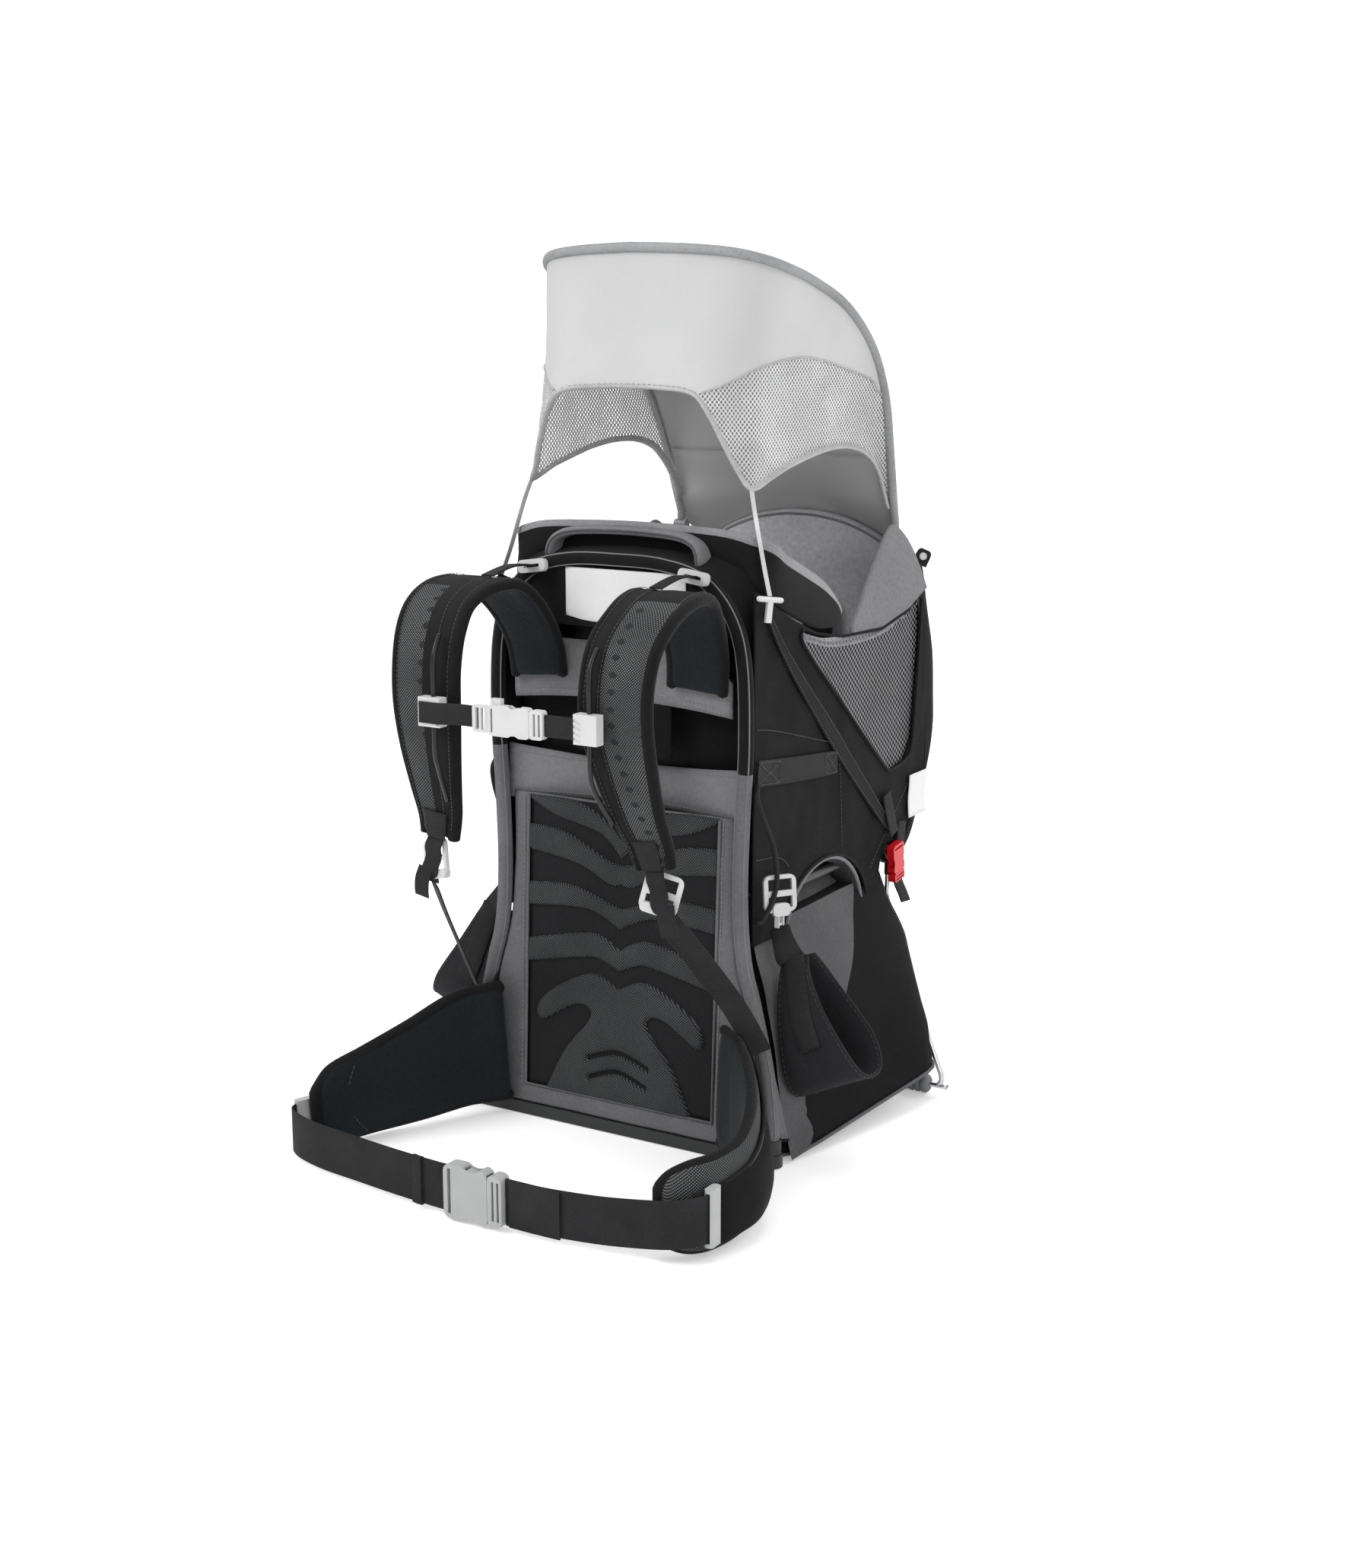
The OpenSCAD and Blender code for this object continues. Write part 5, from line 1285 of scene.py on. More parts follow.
class CARRIER_OT_side_panels(Make, bpy.types.Operator):
    """Cut the side panels with their mesh windows, bands and leg openings"""
    bl_idname = "carrier.side_panels"
    bl_label = "Side panels"

    def execute(self, context):
        both(self.panel, self.window, self.bands, self.elastic, self.leg_loop)
        return {"FINISHED"}

    def panel(self, s, side):
        arch_hole = [(y, z) for y, z in leg_arch if z > 236.5]
        outline = ([panel_edge[0], (arch_hole[-1][0], 236)] + arch_hole[::-1]
                   + [(arch_hole[0][0], 236), panel_edge[1]] + panel_edge[2:])
        cut = cut_out(outline, [window_edge], 8.0, (2.0,))
        depth = sizes().crumple / MM

        def place(u, v, e):
            soft = min(e / 25, 1)
            lean = 9 * min(max((u - 370) / 55, 0), 1) * min(max((v - 540) / 36, 0), 1)
            return Vector((s * (side_x - 0.4 - lean + soft * crumple((u, v, s * 40), 55, depth, 31)), u, v))
        thing = panel(f"side_panel_cloth_{side}", cut, place, flip=s < 0)
        dress(thick(thing, 2.4), "body_cloth", f"side_panel_{side}")
        edge = lambda line, off=0.6: [Vector((s * (side_x + off), y, z)) for y, z in line]
        bound = [edge(smooth(leg_arch, 2)), edge(smooth(window_edge[5:] + window_edge[:1], 3))]
        dress(tube(f"side_panel_binding_{side}", bound, piping_r() * 1.1, 8), "black_binding")
        seams = [[(front_y + 3, 470), (60, 462), (140, 441), (205, 424)],
                 [(205, 424), (212, 360), (216, 303)],
                 [(front_y + 3, 330), (70, 322), (100, 300)],
                 [(286, 262), (330, 300), (392, 352)]]
        lines = [edge(smooth(seam, 8), 0.3) for seam in seams]
        dress(stitches(f"side_panel_stitches_{side}", lines, length=sizes().stitch / MM),
              "black_thread")

    def window(self, s, side):
        outline = [(106, rim_z + 14), (160, rim_z - 1), (212, rim_z - 10), (310, rim_z - 13), (378, rim_z - 2),
                   (412, rim_z + 13), (411, 520), (401, 396), (380, 369), (340, 363), (313, 373), (217, 453),
                   (110, 545)]
        cut = cut_out(outline, (), 9.0, ())
        x = side_x - 4.2
        place = lambda u, v, e: Vector((s * (x - 2.2 * min(e / 40, 1)), u, v))
        thing = panel(f"mesh_window_net_{side}", cut, place, flip=s < 0)
        dress(thing, "window_net", of_left(s, "mesh_windows"))

    def bands(self, s, side):
        x = side_x + 1.4
        flat = sided(s, (x, 19, 423, 28), (x + 0.6, 90, 415, 28), (x + 0.4, 150, 409, 27), (x, 197, 405, 26))
        thing, track = strap(f"compression_band_{side}", flat, (0, 0, 1), 2.0)
        dress(thing, "black_webbing")
        off = 1.3 if track.off[0].x * s > 0 else -1.3
        lines = box_stitch(track, 0, 4, off) + box_stitch(track, len(track.path) - 5, len(track.path) - 1, off)
        dress(stitches(f"compression_stitches_{side}", lines), "black_thread")
        slope = sided(s, (x, 36, 590, 9), (x, 76, 542, 13), (x, 122, 497, 17), (x, 178, 445, 21),
                      (x, 230, 396, 20), (x, 290, 342, 17), (x, 338, 299, 12))
        thing, track = strap(f"diagonal_band_{side}", slope, (0, 0, 1), 2.2)
        dress(thing, "black_binding", of_left(s, "side_bands"))
        off = 1.4 if track.off[0].x * s > 0 else -1.4
        lines = [track.line(lambda p, w=w: w * (p[3] / 2 - 2.0), off) for w in (1, -1)]
        dress(stitches(f"diagonal_stitches_{side}", lines), "black_thread")

    def leg_loop(self, s, side):
        """The padded edge inside the leg opening."""
        path = [(s * 146, 176 + 92 * math.cos(a), 218 + 80 * math.sin(a), 34) for a in np.linspace(0.05, 3.1, 26)]
        pad = Pad(f"leg_loop_{side}", path, (1, 0, 0), 12.0, points=24)
        dress(pad.thing, "loop_cloth")
        dress(tube(f"leg_loop_binding_{side}", [pad.edge(s)], 2.4, 8), "grey_piping")

    def elastic(self, s, side):
        x = side_x + 5
        path = smooth(sided(s, (x - 2.4, 17, 412), (x + 2, 9, 398), (x + 6, 16, 376), (x + 9, 31, 345),
                            (x + 10, 38, 310), (x + 7, 34, 284), (x + 2, 22, 265), (x - 2.4, 17, 262)), 5)
        cord = tube(f"elastic_loop_{side}", [path], 2.8, 10)
        dress(cord, "black_webbing", of_left(s, "elastic_loops"))
        metres = [Vector(p) * MM for p in path]


shell_rows = [
    (267, 0, -25, 14), (287, 0, 5, 20), (354, -1, 42, 17), (402, -2, 74, 34), (450, -3, 82, 45),
    (498, -5, 82, 45), (548, -8, 65, 38), (582, -12, 56, 29), (598, -14, 50, 24)
]
bag_rows = [
    (2, 206, 262, 300, 42), (50, 194, 250, 311, 76), (90, 187, 233, 322, 108), (135, 181, 216, 334, 145),
    (180, 172, 198, 344, 180), (220, 160, 173, 346, 220), (248, 154, 158, 346, 254)
]


class CARRIER_OT_rear(Make, bpy.types.Operator):
    """Shape the rear shell and its tabs, and hang the storage bag"""
    bl_idname = "carrier.rear"
    bl_label = "Rear shell and bag"

    def execute(self, context):
        self.shell()
        self.tabs()
        self.bag()
        return {"FINISHED"}

    def shell(self):
        rows = []
        for z, dw, dy, r in smooth(shell_rows, 4):
            w, y = side_x + dw - 0.6, wrap_y + dy - 0.6
            half = [(w, panel_end(z) + 2), (w, (panel_end(z) + y - r) / 2)]
            half += [(w - r + r * math.cos(a), y - r + r * math.sin(a)) for a in np.linspace(0, math.pi / 2, 8)]
            half += [(x, y + 1.5 * math.cos(x / (w - r) * math.pi / 2)) for x in np.linspace(w - r, 0, 9)[1:]]
            rows.append([Vector((x, yy - crumple((x, yy, z), 60, 1.6, 41) * (1 if z > 290 else 0.3), z))
                         for x, yy in whole(half)])
        shell = woven("rear_shell_cloth", rows)
        dress(thick(rounder(shell), 2.2, 0), "body_cloth", "rear_shell")
        top = [p + Vector((0, 0, 0.5)) for p in rows[-1]]
        corner = 9
        seams = [top, rows[0]] + [[row[k] for row in rows] for k in (corner, -1 - corner)]
        dress(tube("rear_shell_binding", seams, piping_r() * 1.1, 8), "black_binding")

    def tabs(self):
        turn = math.radians(31)
        across = Vector((math.cos(turn), math.sin(turn), 0))
        foot = Vector((139.5, wrap_y + 43, 598.6))
        lean = (UP + across * 0.45).normalized()
        tab = [(*(foot + lean * z), w) for z, w in ((0, 18), (6, 18), (12, 18), (17, 16), (19.5, 11))]
        belt("snap_tab", tab, across, 3.2, nodes="rear_tabs")
        out = across.cross(UP)
        rows = [[foot + lean * 11 + out * (1.6 + h) + (across * math.cos(a) + UP * math.sin(a)) * r
                 for a in (math.tau * k / 20 for k in range(20))]
                for r, h in ((4.6, 0), (4.4, 0.9), (3.6, 1.3), (2.6, 1.1), (1.2, 1.0))]
        dress(woven("snap_button", rows, ring=True, ends=True), "white_plastic")
        x = side_x - 40
        loop = smooth([(x - 1, wrap_y + 80, 432), (x + 3, wrap_y + 88, 434), (x + 6, wrap_y + 91, 442),
                       (x + 3, wrap_y + 88, 450), (x - 1, wrap_y + 80, 452)], 5)
        belt("rear_loop", [(*p, 6) for p in loop], (0.9, -0.4, 0), 1.6, 1)

    def bag(self):
        front = low("lower_bag").y
        rows = []
        for z, fw, rw, ry, rz in smooth(bag_rows, 4):
            corners = [Vector((fw, front, z)), Vector((rw, ry, rz)), Vector((-rw, ry, rz)), Vector((-fw, front, z))]
            ring = []
            for a, b, n in ((0, 1, 16), (1, 2, 24), (2, 3, 16), (3, 0, 14)):
                ring += [corners[a].lerp(corners[b], k / n) for k in range(n)]
            for _ in range(4):
                ring = [(ring[k - 1] + ring[k] * 2 + ring[(k + 1) % len(ring)]) / 4 for k in range(len(ring))]
            middle = sum(ring, Vector()) / len(ring)
            soft = min(1, (z - 2) / 30)
            rows.append([p + (p - middle).normalized() * soft * crumple(p, 60, 2.4, 51) for p in ring])
        bag = woven("storage_bag", rows, ring=True, ends=True)
        self.fold(dress(bag, "body_cloth", "lower_bag", body=None))
        hem = tube("bag_hem", [[p + UP for p in rows[0] + rows[0][:1]]], 2.0, 8)
        self.fold(dress(hem, "hem", body=None))
        for s, side in SIDES:
            grid = []
            for z, fw, rw, ry, rz in smooth(bag_rows, 4):
                start, end = Vector((s * (fw + 1), front + 8, z)), Vector((s * (rw + 1.6), ry, rz))
                share = 0.1 + 0.62 * z / 248
                line = [start.lerp(end, share * v) for v in shares(13)]
                grid.append([p + Vector((s * crumple(p, 60, 1.4, 51), 0, 0)) for p in line])
            gusset = woven(f"bag_gusset_{side}", grid if s > 0 else [row[::-1] for row in grid])
            self.fold(dress(gusset, "grey_gusset", body=None))

    def fold(self, thing):
        """Sets a bag's piece in place, with its transform baked into its points."""
        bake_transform(thing)


# ---- kickstand and sunshade ----

kick_path = [
    (157, 348, 252), (157, 348, 241), (157, 348, 232), (158, 347, 212), (174, 344, 180), (195, 334, 145),
    (211, 321, 108), (229, 308, 76), (248, 299, 42), (257, 297, 22), (253, 297, 12), (243, 297, 11), (0, 297, 11)
]
hoop_half = [
    (145, 373, 650.2), (145, 373, 657), (146, 367, 674), (150, 347, 735), (156, 320, 800), (161, 275, 856),
    (162, 210, 900), (155, 150, 925), (148, 106, 938), (134, 76, 947), (108, 51, 954), (60, 37, 958), (0, 33, 960)
]
skirt_pairs = [
    ((143, 363, 680), (141, 362, 673)), ((148, 347, 731), (141, 338, 712)), ((154, 321, 794), (141, 306, 737)),
    ((158, 288, 838), (141, 267, 748)), ((159, 245, 875), (141, 225, 750)), ((158, 198, 900), (141, 180, 746)),
    ((152, 155, 918), (141, 140, 739)), ((147, 118, 929), (140, 95, 729)), ((137, 88, 938), (138, 50, 716)),
    ((122, 64, 948), (128, 42, 730)), ((106, 55, 951), (114, 32, 762)), ((90, 49, 952), (100, 26, 792)),
    ((72, 44, 953), (82, 24, 812)), ((40, 40, 954), (45, 26, 817)), ((0, 39, 954), (0, 27, 818))
]
seam_heights = [900, 900, 807, 822, 833, 842, 847, 845, 838, 830, 822, 816, 812, 817, 818]


class CARRIER_OT_kickstand(Make, bpy.types.Operator):
    """Bend the kickstand's steel rod"""
    bl_idname = "carrier.kickstand"
    bl_label = "Kickstand"

    def execute(self, context):
        rod = tube("kickstand_steel", [whole(smooth(kick_path, 5)[:-1] + [kick_path[-1]])], 3.2, 16)
        dress(rod, "steel", "kickstand_rod", body="kickstand")
        return {"FINISHED"}


class CARRIER_OT_sunshade(Make, bpy.types.Operator):
    """Bend the sunshade's hoop and sew the canopy, its mesh sides and its straps"""
    bl_idname = "carrier.sunshade"
    bl_label = "Sunshade"

    def execute(self, context):
        sleeve = tube("hoop_sleeve", [whole(smooth(hoop_half, 4))], 5.2, 14)
        dress(sleeve, "shade_rim", "sunshade_hoop", body="sunshade")
        self.canopy()
        both(self.straps)
        return {"FINISHED"}

    def canopy(self):
        """The plain cloth, its mesh sides and the roof, which goes down behind the child's head."""
        hoop = [Vector(p) for p in smooth(hoop_half, 24)]
        tops, feet = ([Vector(p) for p in smooth([pair[k] for pair in skirt_pairs], 4)] for k in (0, 1))
        tops = [min(hoop, key=lambda p: (p - top).length_squared) for top in tops]
        heights = [z for (z,) in smooth([(z,) for z in seam_heights], 4)]
        sides, seam, seam_at, cloth_t = [], [], 8, 0.9
        for top, foot, height in zip(tops, feet, heights):
            turn = min(max((top.x - 95) / 60, 0), 1)
            out = Vector((turn, turn - 1, 0)).normalized()
            plain = min(max((top.z - height) / (top.z - foot.z), 0.02), 0.98)
            line = []
            for v in [*np.linspace(0, plain, seam_at + 1), *np.linspace(plain, 1, seam_at + 1)[1:]]:
                p = top.lerp(foot, v)
                line.append(p + out * (-5.0 * math.sin(math.pi * v) + crumple(p, 45, 1.8, 61) * min(1, v * 4)))
            sides.append(line)
            if 0.03 < plain < 0.97:
                seam.append(line[seam_at] + out)
        rows = sides + [mirrored(row) for row in sides[-2::-1]]
        skirt = woven("canopy_skirt", rows[::-1])
        for loop, spot in zip(skirt.data.loops, skirt.data.uv_layers["Cloth"].data):
            p = skirt.data.vertices[loop.vertex_index].co / MM
            spot.uv = (p.y + abs(p.x), p.z)
        paint(skirt, ("shade_cloth", "shade_mesh"), lambda face: int(face.vertices[0] % len(rows[0]) >= seam_at))
        dress(thick(skirt, cloth_t, 0), None, body="sunshade")
        cut_size(rows)
        dress(tube("canopy_seams", [seam, mirrored(seam)], 1.1, 8), "shade_hem", body="sunshade")
        rows = []
        for p in tops:
            half = []
            for u in shares(15):
                rise = math.sin(math.pi * u / 2) ** 2
                sag = 10 + 56 * max(0, (760 - p.z) / 120) ** 1.5 if p.z < 840 else -2.4
                q = (p.x * (1 - u), p.y + sag * rise, p.z - (1 if p.y > 80 and p.z > 840 else -2) * rise)
                half.append(Vector(q) + Vector((0, 0, crumple(q, 50, 1.6, 62) * min(1, u * 4))))
            rows.append(whole(half))
        last = max(i for i, p in enumerate(tops) if p.y >= 60)
        first = next(i for i, p in enumerate(tops) if p.z > 716)
        roof = woven("canopy_roof", rows[first:last + 1])
        dress(thick(rounder(roof), cloth_t, 0), "shade_cloth", "sunshade_canopy", body="sunshade")
        cut_size(rows[first:last + 1])
        edge = [Vector(p) for p in smooth([(145, 372, 652), (143, 388, 640), (136, 412, 622), (124, 430, 617),
                                           (106, 435, 624), (66, 437, 640), (25, 437, 647), (0, 437, 648)], 2)]
        strip = rows[first:0:-1] + [[a.lerp(b, v) for a, b in zip(rows[0], whole(edge))] for v in shares(9)]
        tail = woven("canopy_tail", strip)
        dress(thick(rounder(tail), cloth_t, 0), "shade_cloth", body=None)
        cut_size(strip)
        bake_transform(tail)
        hems = tube("canopy_hems", [whole([row[-1] for row in sides])], 2.4, 8, 1.8)
        dress(hems, "shade_hem", body="sunshade")

    def straps(self, s, side):
        path = sided(s, (139, 47, 713.5), (146, 42, 690), (160, 36, 640), (170.2, 31, 608.7), width=8)
        thing, _ = strap(f"shade_strap_{side}", path, (0, 1, 0), 1.4)
        dress(thing, "white_webbing", of_left(s, "sunshade_straps"), body="sunshade")


# ---- shoulder harness ----

pad_line = [
    (100, 3, 508, 70), (103, -2, 545, 72), (108, -26, 585, 78), (115, -62, 613, 86), (121, -104, 615, 86),
    (122, -140, 601, 82), (118, -164, 575, 82), (116, -175, 540, 81), (116, -176, 500, 80), (120, -167, 455, 72),
    (125, -153, 410, 60), (131, -139, 376, 50), (135, -134, 352, 44)
]


class CARRIER_OT_harness(Make, bpy.types.Operator):
    """Sew and fill the shoulder pads, and fit their rails and webbing"""
    bl_idname = "carrier.harness"
    bl_label = "Shoulder harness"

    def execute(self, context):
        both(self.pad, self.rail, self.webbing)
        return {"FINISHED"}

    def pad(self, s, side):
        path = sided(s, *smooth(pad_line, 7))
        inner = -s
        pad = Pad(f"shoulder_pad_cloth_{side}", path, (1, 0, 0), 13.0, points=44, seams=(inner * 0.34,), groove=1.5)
        front = 1 if pad.track.off[len(path) * 2 // 3].y < 0 else -1
        last = len(path) - 1
        bare_y, bare_z, patch_at = -118, 560, last - 9

        def choose(row, across, off):
            if off * front < 0:
                return 2
            return 1 if across * inner > 0.34 or path[row][1] > bare_y and path[row][2] > bare_z else 0
        pad.paint(("strap_mesh", "pad_cloth", "pad_lining"), choose)
        stuffed(pad.thing, pad.sewn, pressure=sizes().filling, most=4.0)
        dress(pad.thing, None, f"shoulder_pad_{side}", body="harness")
        edge = [pad.edge(w, inset=binding_r() * 0.72) for w in (1, -1)]
        dress(tube(f"shoulder_pad_binding_{side}", edge, binding_r(), 14, 1.15),
              "pad_binding", body="harness")
        face_off, patch_off = 6.9, 7.4
        lines = [pad.track.line(lambda p, w=w: w * p[3] / 2, front * face_off, 3, last - 3)
                 for w in (inner * 0.40, -inner * 0.8, inner * 0.8)]
        dress(stitches(f"shoulder_pad_stitches_{side}", lines), "black_thread", body="harness")
        halves = [(27 - 3 * k / 5) / 2 for k in range(len(path) - patch_at)]
        rows = [[pad.track.point(patch_at + k, x, front * (patch_off + 0.4 * h)) for x, h in
                 ((-half, -1), (-half + 1, 1), (0, 1.6), (half - 1, 1), (half, -1))] for k, half in enumerate(halves)]
        thing = woven(f"pad_end_patch_{side}", rows if front > 0 else rows[::-1])
        dress(thick(thing, 1.4), "black_webbing", body="harness")

    def rail(self, s, side):
        x = 95 * s
        path = [(x * 1.01, -178, 575), (x, -187, 562), (x, -191, 546), (x, -191, 500), (x, -191, 456), (x, -186, 438),
                (x * 1.03, -176, 420), (x * 1.08, -162, 398)]
        thing = tube(f"rail_piping_{side}", [smooth(path, 6)], 2.6, 12)
        dress(thing, "rail_rubber", of_left(s, "strap_rails"), body="harness")

    def webbing(self, s, side):
        lower = sided(s, (146, -133, 299.3), (158, -100, 258), (174, -46, 190), (182, -3.4, 128), width=26)
        thing = belt(f"lower_webbing_{side}", lower, (s, 0.5, 0.6), nodes=of_left(s, "harness_webbing"), body=None)
        s * 0.15
        s * 0.18
        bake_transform(thing)
        lifter = sided(s, (104, -84, 624.6), (103, -45, 631), (101, -11, 629), width=16)
        thing = belt(f"lifter_webbing_{side}", lifter, (1, 0, 0), body=None)
        s * 0.104
        s * 0.101
        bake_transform(thing)
        through = sided(s, (136, -139, 352), (139, -142, 340), (141, -139, 328), (144, -142, 315), (147, -137, 301),
                        width=21)
        belt(f"lock_webbing_{side}", through, (1, 0, 0), 2.0, body="harness")
        hang = sided(s, (150, -141, 316), (153, -144, 304), (155, -143, 292), (156, -141, 284), width=20)
        belt(f"webbing_tail_{side}", hang, (s, 0.1, 0.1), 1.6, body="harness")


# ---- hip belt ----

hip_z = (low("hip_socket").z + high("hip_socket").z) / 2
belt_y, belt_w, wing_t = 281, 50, 20
wing_paths = {
    "right": [(142, -13.3, 86, 140), (176, -38, 82, 138), (213, -80, 71, 128), (240, -125, 60, 114),
              (252, -168, 53, 100), (248, -210, 50, 97), (236, -236, 50, 93), (223, -250, 50, 78),
              (215, -256, 50, 56)],
    "left": [(-142, -12.2, 86, 140), (-172, -46, 82, 137), (-199, -98, 68, 120), (-224, -152, 57, 102),
             (-241, -194, 50, 88), (-248, -216, 48, 52)],
}


def beside(path, gap):
    """A path moved level to the right of its direction; each point keeps its width."""
    track = Track(path, (0, 0, 1))
    return [(*(at + way.cross(UP).normalized() * gap), *p[3:])
            for at, way, p in zip(track.at, track.along, path)]


def on_wing(path, z):
    """Where the belt lies on the outside of a wing, at height z."""
    face = smooth(path, 2)
    way = 1 if path[0][0] < 0 else -1
    return [(p[0], p[1], z, belt_w) for p in beside(face, way * (wing_t / 2 + 1.2))]


class CARRIER_OT_chest_strap(Make, bpy.types.Operator):
    """Thread the webbing of the chest strap and finish its buckle and clips"""
    bl_idname = "carrier.chest_strap"
    bl_label = "Chest strap"

    def execute(self, context):
        z = (low("chest_strap").z + high("chest_strap").z) / 2
        path = sided(1, (-106, -201.2, z), (-94, -201.4, z), (-81, -201.2, z), (-69, -195.8, z),
                     (-50, -195.4, z + 0.4), (-33, -195.8, z), width=22)
        belt("chest_webbing", path, (0, 0, 1), nodes="chest_strap", body="chest_strap")
        path = sided(1, (48, -199, z), (61.4, -199.3, z), (81.2, -199, z), width=22)
        thing = belt("chest_plug_strap", path, (0, 0, 1), 3.0, nodes="chest_plug_webbing", body=None)
        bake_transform(thing)
        keep("white_plastic", 0.7, "chest_socket", "chest_plug", "chest_rail_clips")
        return {"FINISHED"}


class CARRIER_OT_hip_belt(Make, bpy.types.Operator):
    """Fill the hip wings, and fit the stabilisers, the pocket, the belt and its buckle"""
    bl_idname = "carrier.hip_belt"
    bl_label = "Hip belt"

    def execute(self, context):
        for s, side in SIDES:
            self.wing(s, side)
            self.stabiliser(s, side)
        self.pocket()
        self.belts()
        keep("grey_plastic", 0.9, "hip_socket", "hip_plug", "hip_adjusters")
        return {"FINISHED"}

    def wing(self, s, side):
        path = smooth(wing_paths[side], 7)
        pad = Pad(f"hip_wing_cloth_{side}", path, (0, 0, 1), wing_t, points=48, ends=9)
        inner = -1 if pad.track.off[10].x * s > 0 else 1
        last = len(path) - 1
        pad.paint(("wing_skin", "pad_mesh"), lambda row, across, off: int(off * inner < 0))
        stuffed(pad.thing, pad.sewn, pressure=sizes().filling, most=3.0)
        dress(pad.thing, None, f"hip_wing_{side}")
        edge = pad.edge(1, inset=binding_r()) + pad.edge(-1, inset=binding_r())[::-1]
        dress(tube(f"hip_wing_binding_{side}", [edge], binding_r(), 12, 1.3), "pad_binding")
        rise, half_w, arc = inner * (wing_t / 2 + 0.5), path[last - 12][3] / 2, []
        for w in np.linspace(-0.84, 0.84, 25):
            i, t = divmod(last - 13 + 4 * math.cos(w * 1.4), 1)
            near, far = (pad.track.point(int(i) + k, w * half_w, rise) for k in (0, 1))
            arc.append(near.lerp(far, t))
        start = len(path) // 3
        slit = pad.track.line(-6, rise, start, start + 13)
        # painted shade: the slit is a near-black bead standing for the shade in its recess
        dress(tube(f"hip_wing_slit_{side}", [slit], 1.0, 6), "dark_groove")
        dress(stitches(f"hip_wing_stitches_{side}", [arc], length=4.0), "blue_thread")

    def stabiliser(self, s, side):
        """The grey panel that runs from the side of the bag to the outside of the wing."""
        face = beside(smooth(wing_paths[side], 7), (1 if s < 0 else -1) * (wing_t / 2 + 2.0))
        steps, across = 25, 11
        ends = [(Vector((s * 203, 22, 26)), Vector((s * (side_x + 3), 22, 172)))]
        for k in range(3, steps + 1):
            x, y, z, w = face[round(k * (len(face) * (0.62 if s > 0 else 0.7)) / steps)]
            half = w / 2 * (0.86 - 0.42 * (k / steps))
            ends.append((Vector((x, y, z - half)), Vector((x, y, z + half))))
        rows = [[foot.lerp(top, v) for v in shares(across)] for foot, top in ends]
        lines = [smooth([tuple(row[k]) for row in rows], 2) for k in range(across)]
        rows = [[Vector(p) for p in row] for row in zip(*lines)]
        rows = [[p + Vector((s * 0.8, 0, 0)) * (1 + crumple(p, 35, 0.8, 81)) for p in row] for row in rows]
        thing = woven(f"stabiliser_{side}", rows if s > 0 else rows[::-1])
        paint(thing, ("grey_cloth", "black_cloth"), lambda face: 0)
        thick(thing, 2.2, 0).modifiers["Thickness"].material_offset = 1
        dress(thing, None)
        rim = [row[-1] for row in rows] + [row[0] for row in rows][::-1]
        dress(tube(f"stabiliser_binding_{side}", [rim], 2.0, 8), "black_binding")

    def pocket(self):
        """The zipped pocket that bulges outside the right wing."""
        face = beside(smooth(wing_paths["right"], 7), -(wing_t / 2 + 2.5))[14:38]
        rows = []
        for k, (x, y, z, w) in enumerate(face):
            share = k / (len(face) - 1)
            before, after = face[max(k - 1, 0)], face[min(k + 1, len(face) - 1)]
            out = Vector((after[1] - before[1], before[0] - after[0], 0)).normalized() * -1
            swell = 13 * math.sin(math.pi * share) ** 0.6
            rows.append([Vector((x, y, z - 8 + v * w * 0.33)) + out * swell * (1 - v * v) ** 0.5
                         + out * crumple((x, y, z + v * 30), 30, 1.2, 91) * (1 - v * v)
                         for v in np.linspace(-1, 1, 15)])
        dress(woven("hip_pocket", rows), "body_cloth")

    def belts(self):
        sewn = on_wing(wing_paths["left"], hip_z)
        end, before = Vector(sewn[-1][:3]), Vector(sewn[-2][:3])
        way = (end - before).normalized()
        path = sewn[5:11] + [(*(end + way * d), belt_w) for d in (11, 23)]
        path += sided(1, (-258, -244, hip_z), (-238, -254, hip_z), (-200, -264, hip_z), (-150, -270, hip_z),
                      (-90, 4 - belt_y, hip_z), (-34, -belt_y, hip_z), (-22.3, -belt_y, hip_z), width=belt_w)
        belt("hip_webbing_left", path, (0, 0, 1), 1.8, 4, "hip_belt_left")
        fold = sided(1, (56, -2.4 - belt_y, hip_z), (84, -2.6 - belt_y, hip_z), (116, -1.6 - belt_y, hip_z),
                     width=belt_w)
        belt("webbing_fold", fold, (0, 0, 1), 2.4, 4, body="hip_plug")
        keeper = sided(1, (-66, 1.6 - belt_y, hip_z), (-60, -belt_y, hip_z), (-54, -0.4 - belt_y, hip_z),
                       width=belt_w + 2)
        belt("webbing_keeper", keeper, (0, 0, 1), 6.0, 4)
        sewn = on_wing(wing_paths["right"], hip_z + 14)[::-1]
        path = sided(1, (50.3, -belt_y, hip_z), (68, -belt_y, hip_z), (100, 1 - belt_y, hip_z), (150, -278, hip_z + 3),
                     (190, -273, hip_z + 6), (230, -265, hip_z + 10), (252, -252, hip_z + 13),
                     (259.6, -238, hip_z + 14), (259.4, -226, hip_z + 14), width=belt_w) + sewn[4:8]
        thing = belt("hip_webbing_right", path, (0, 0, 1), 1.8, 4, "hip_belt_right", body=None)
        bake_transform(thing)


# ---- side buckles and stirrups ----

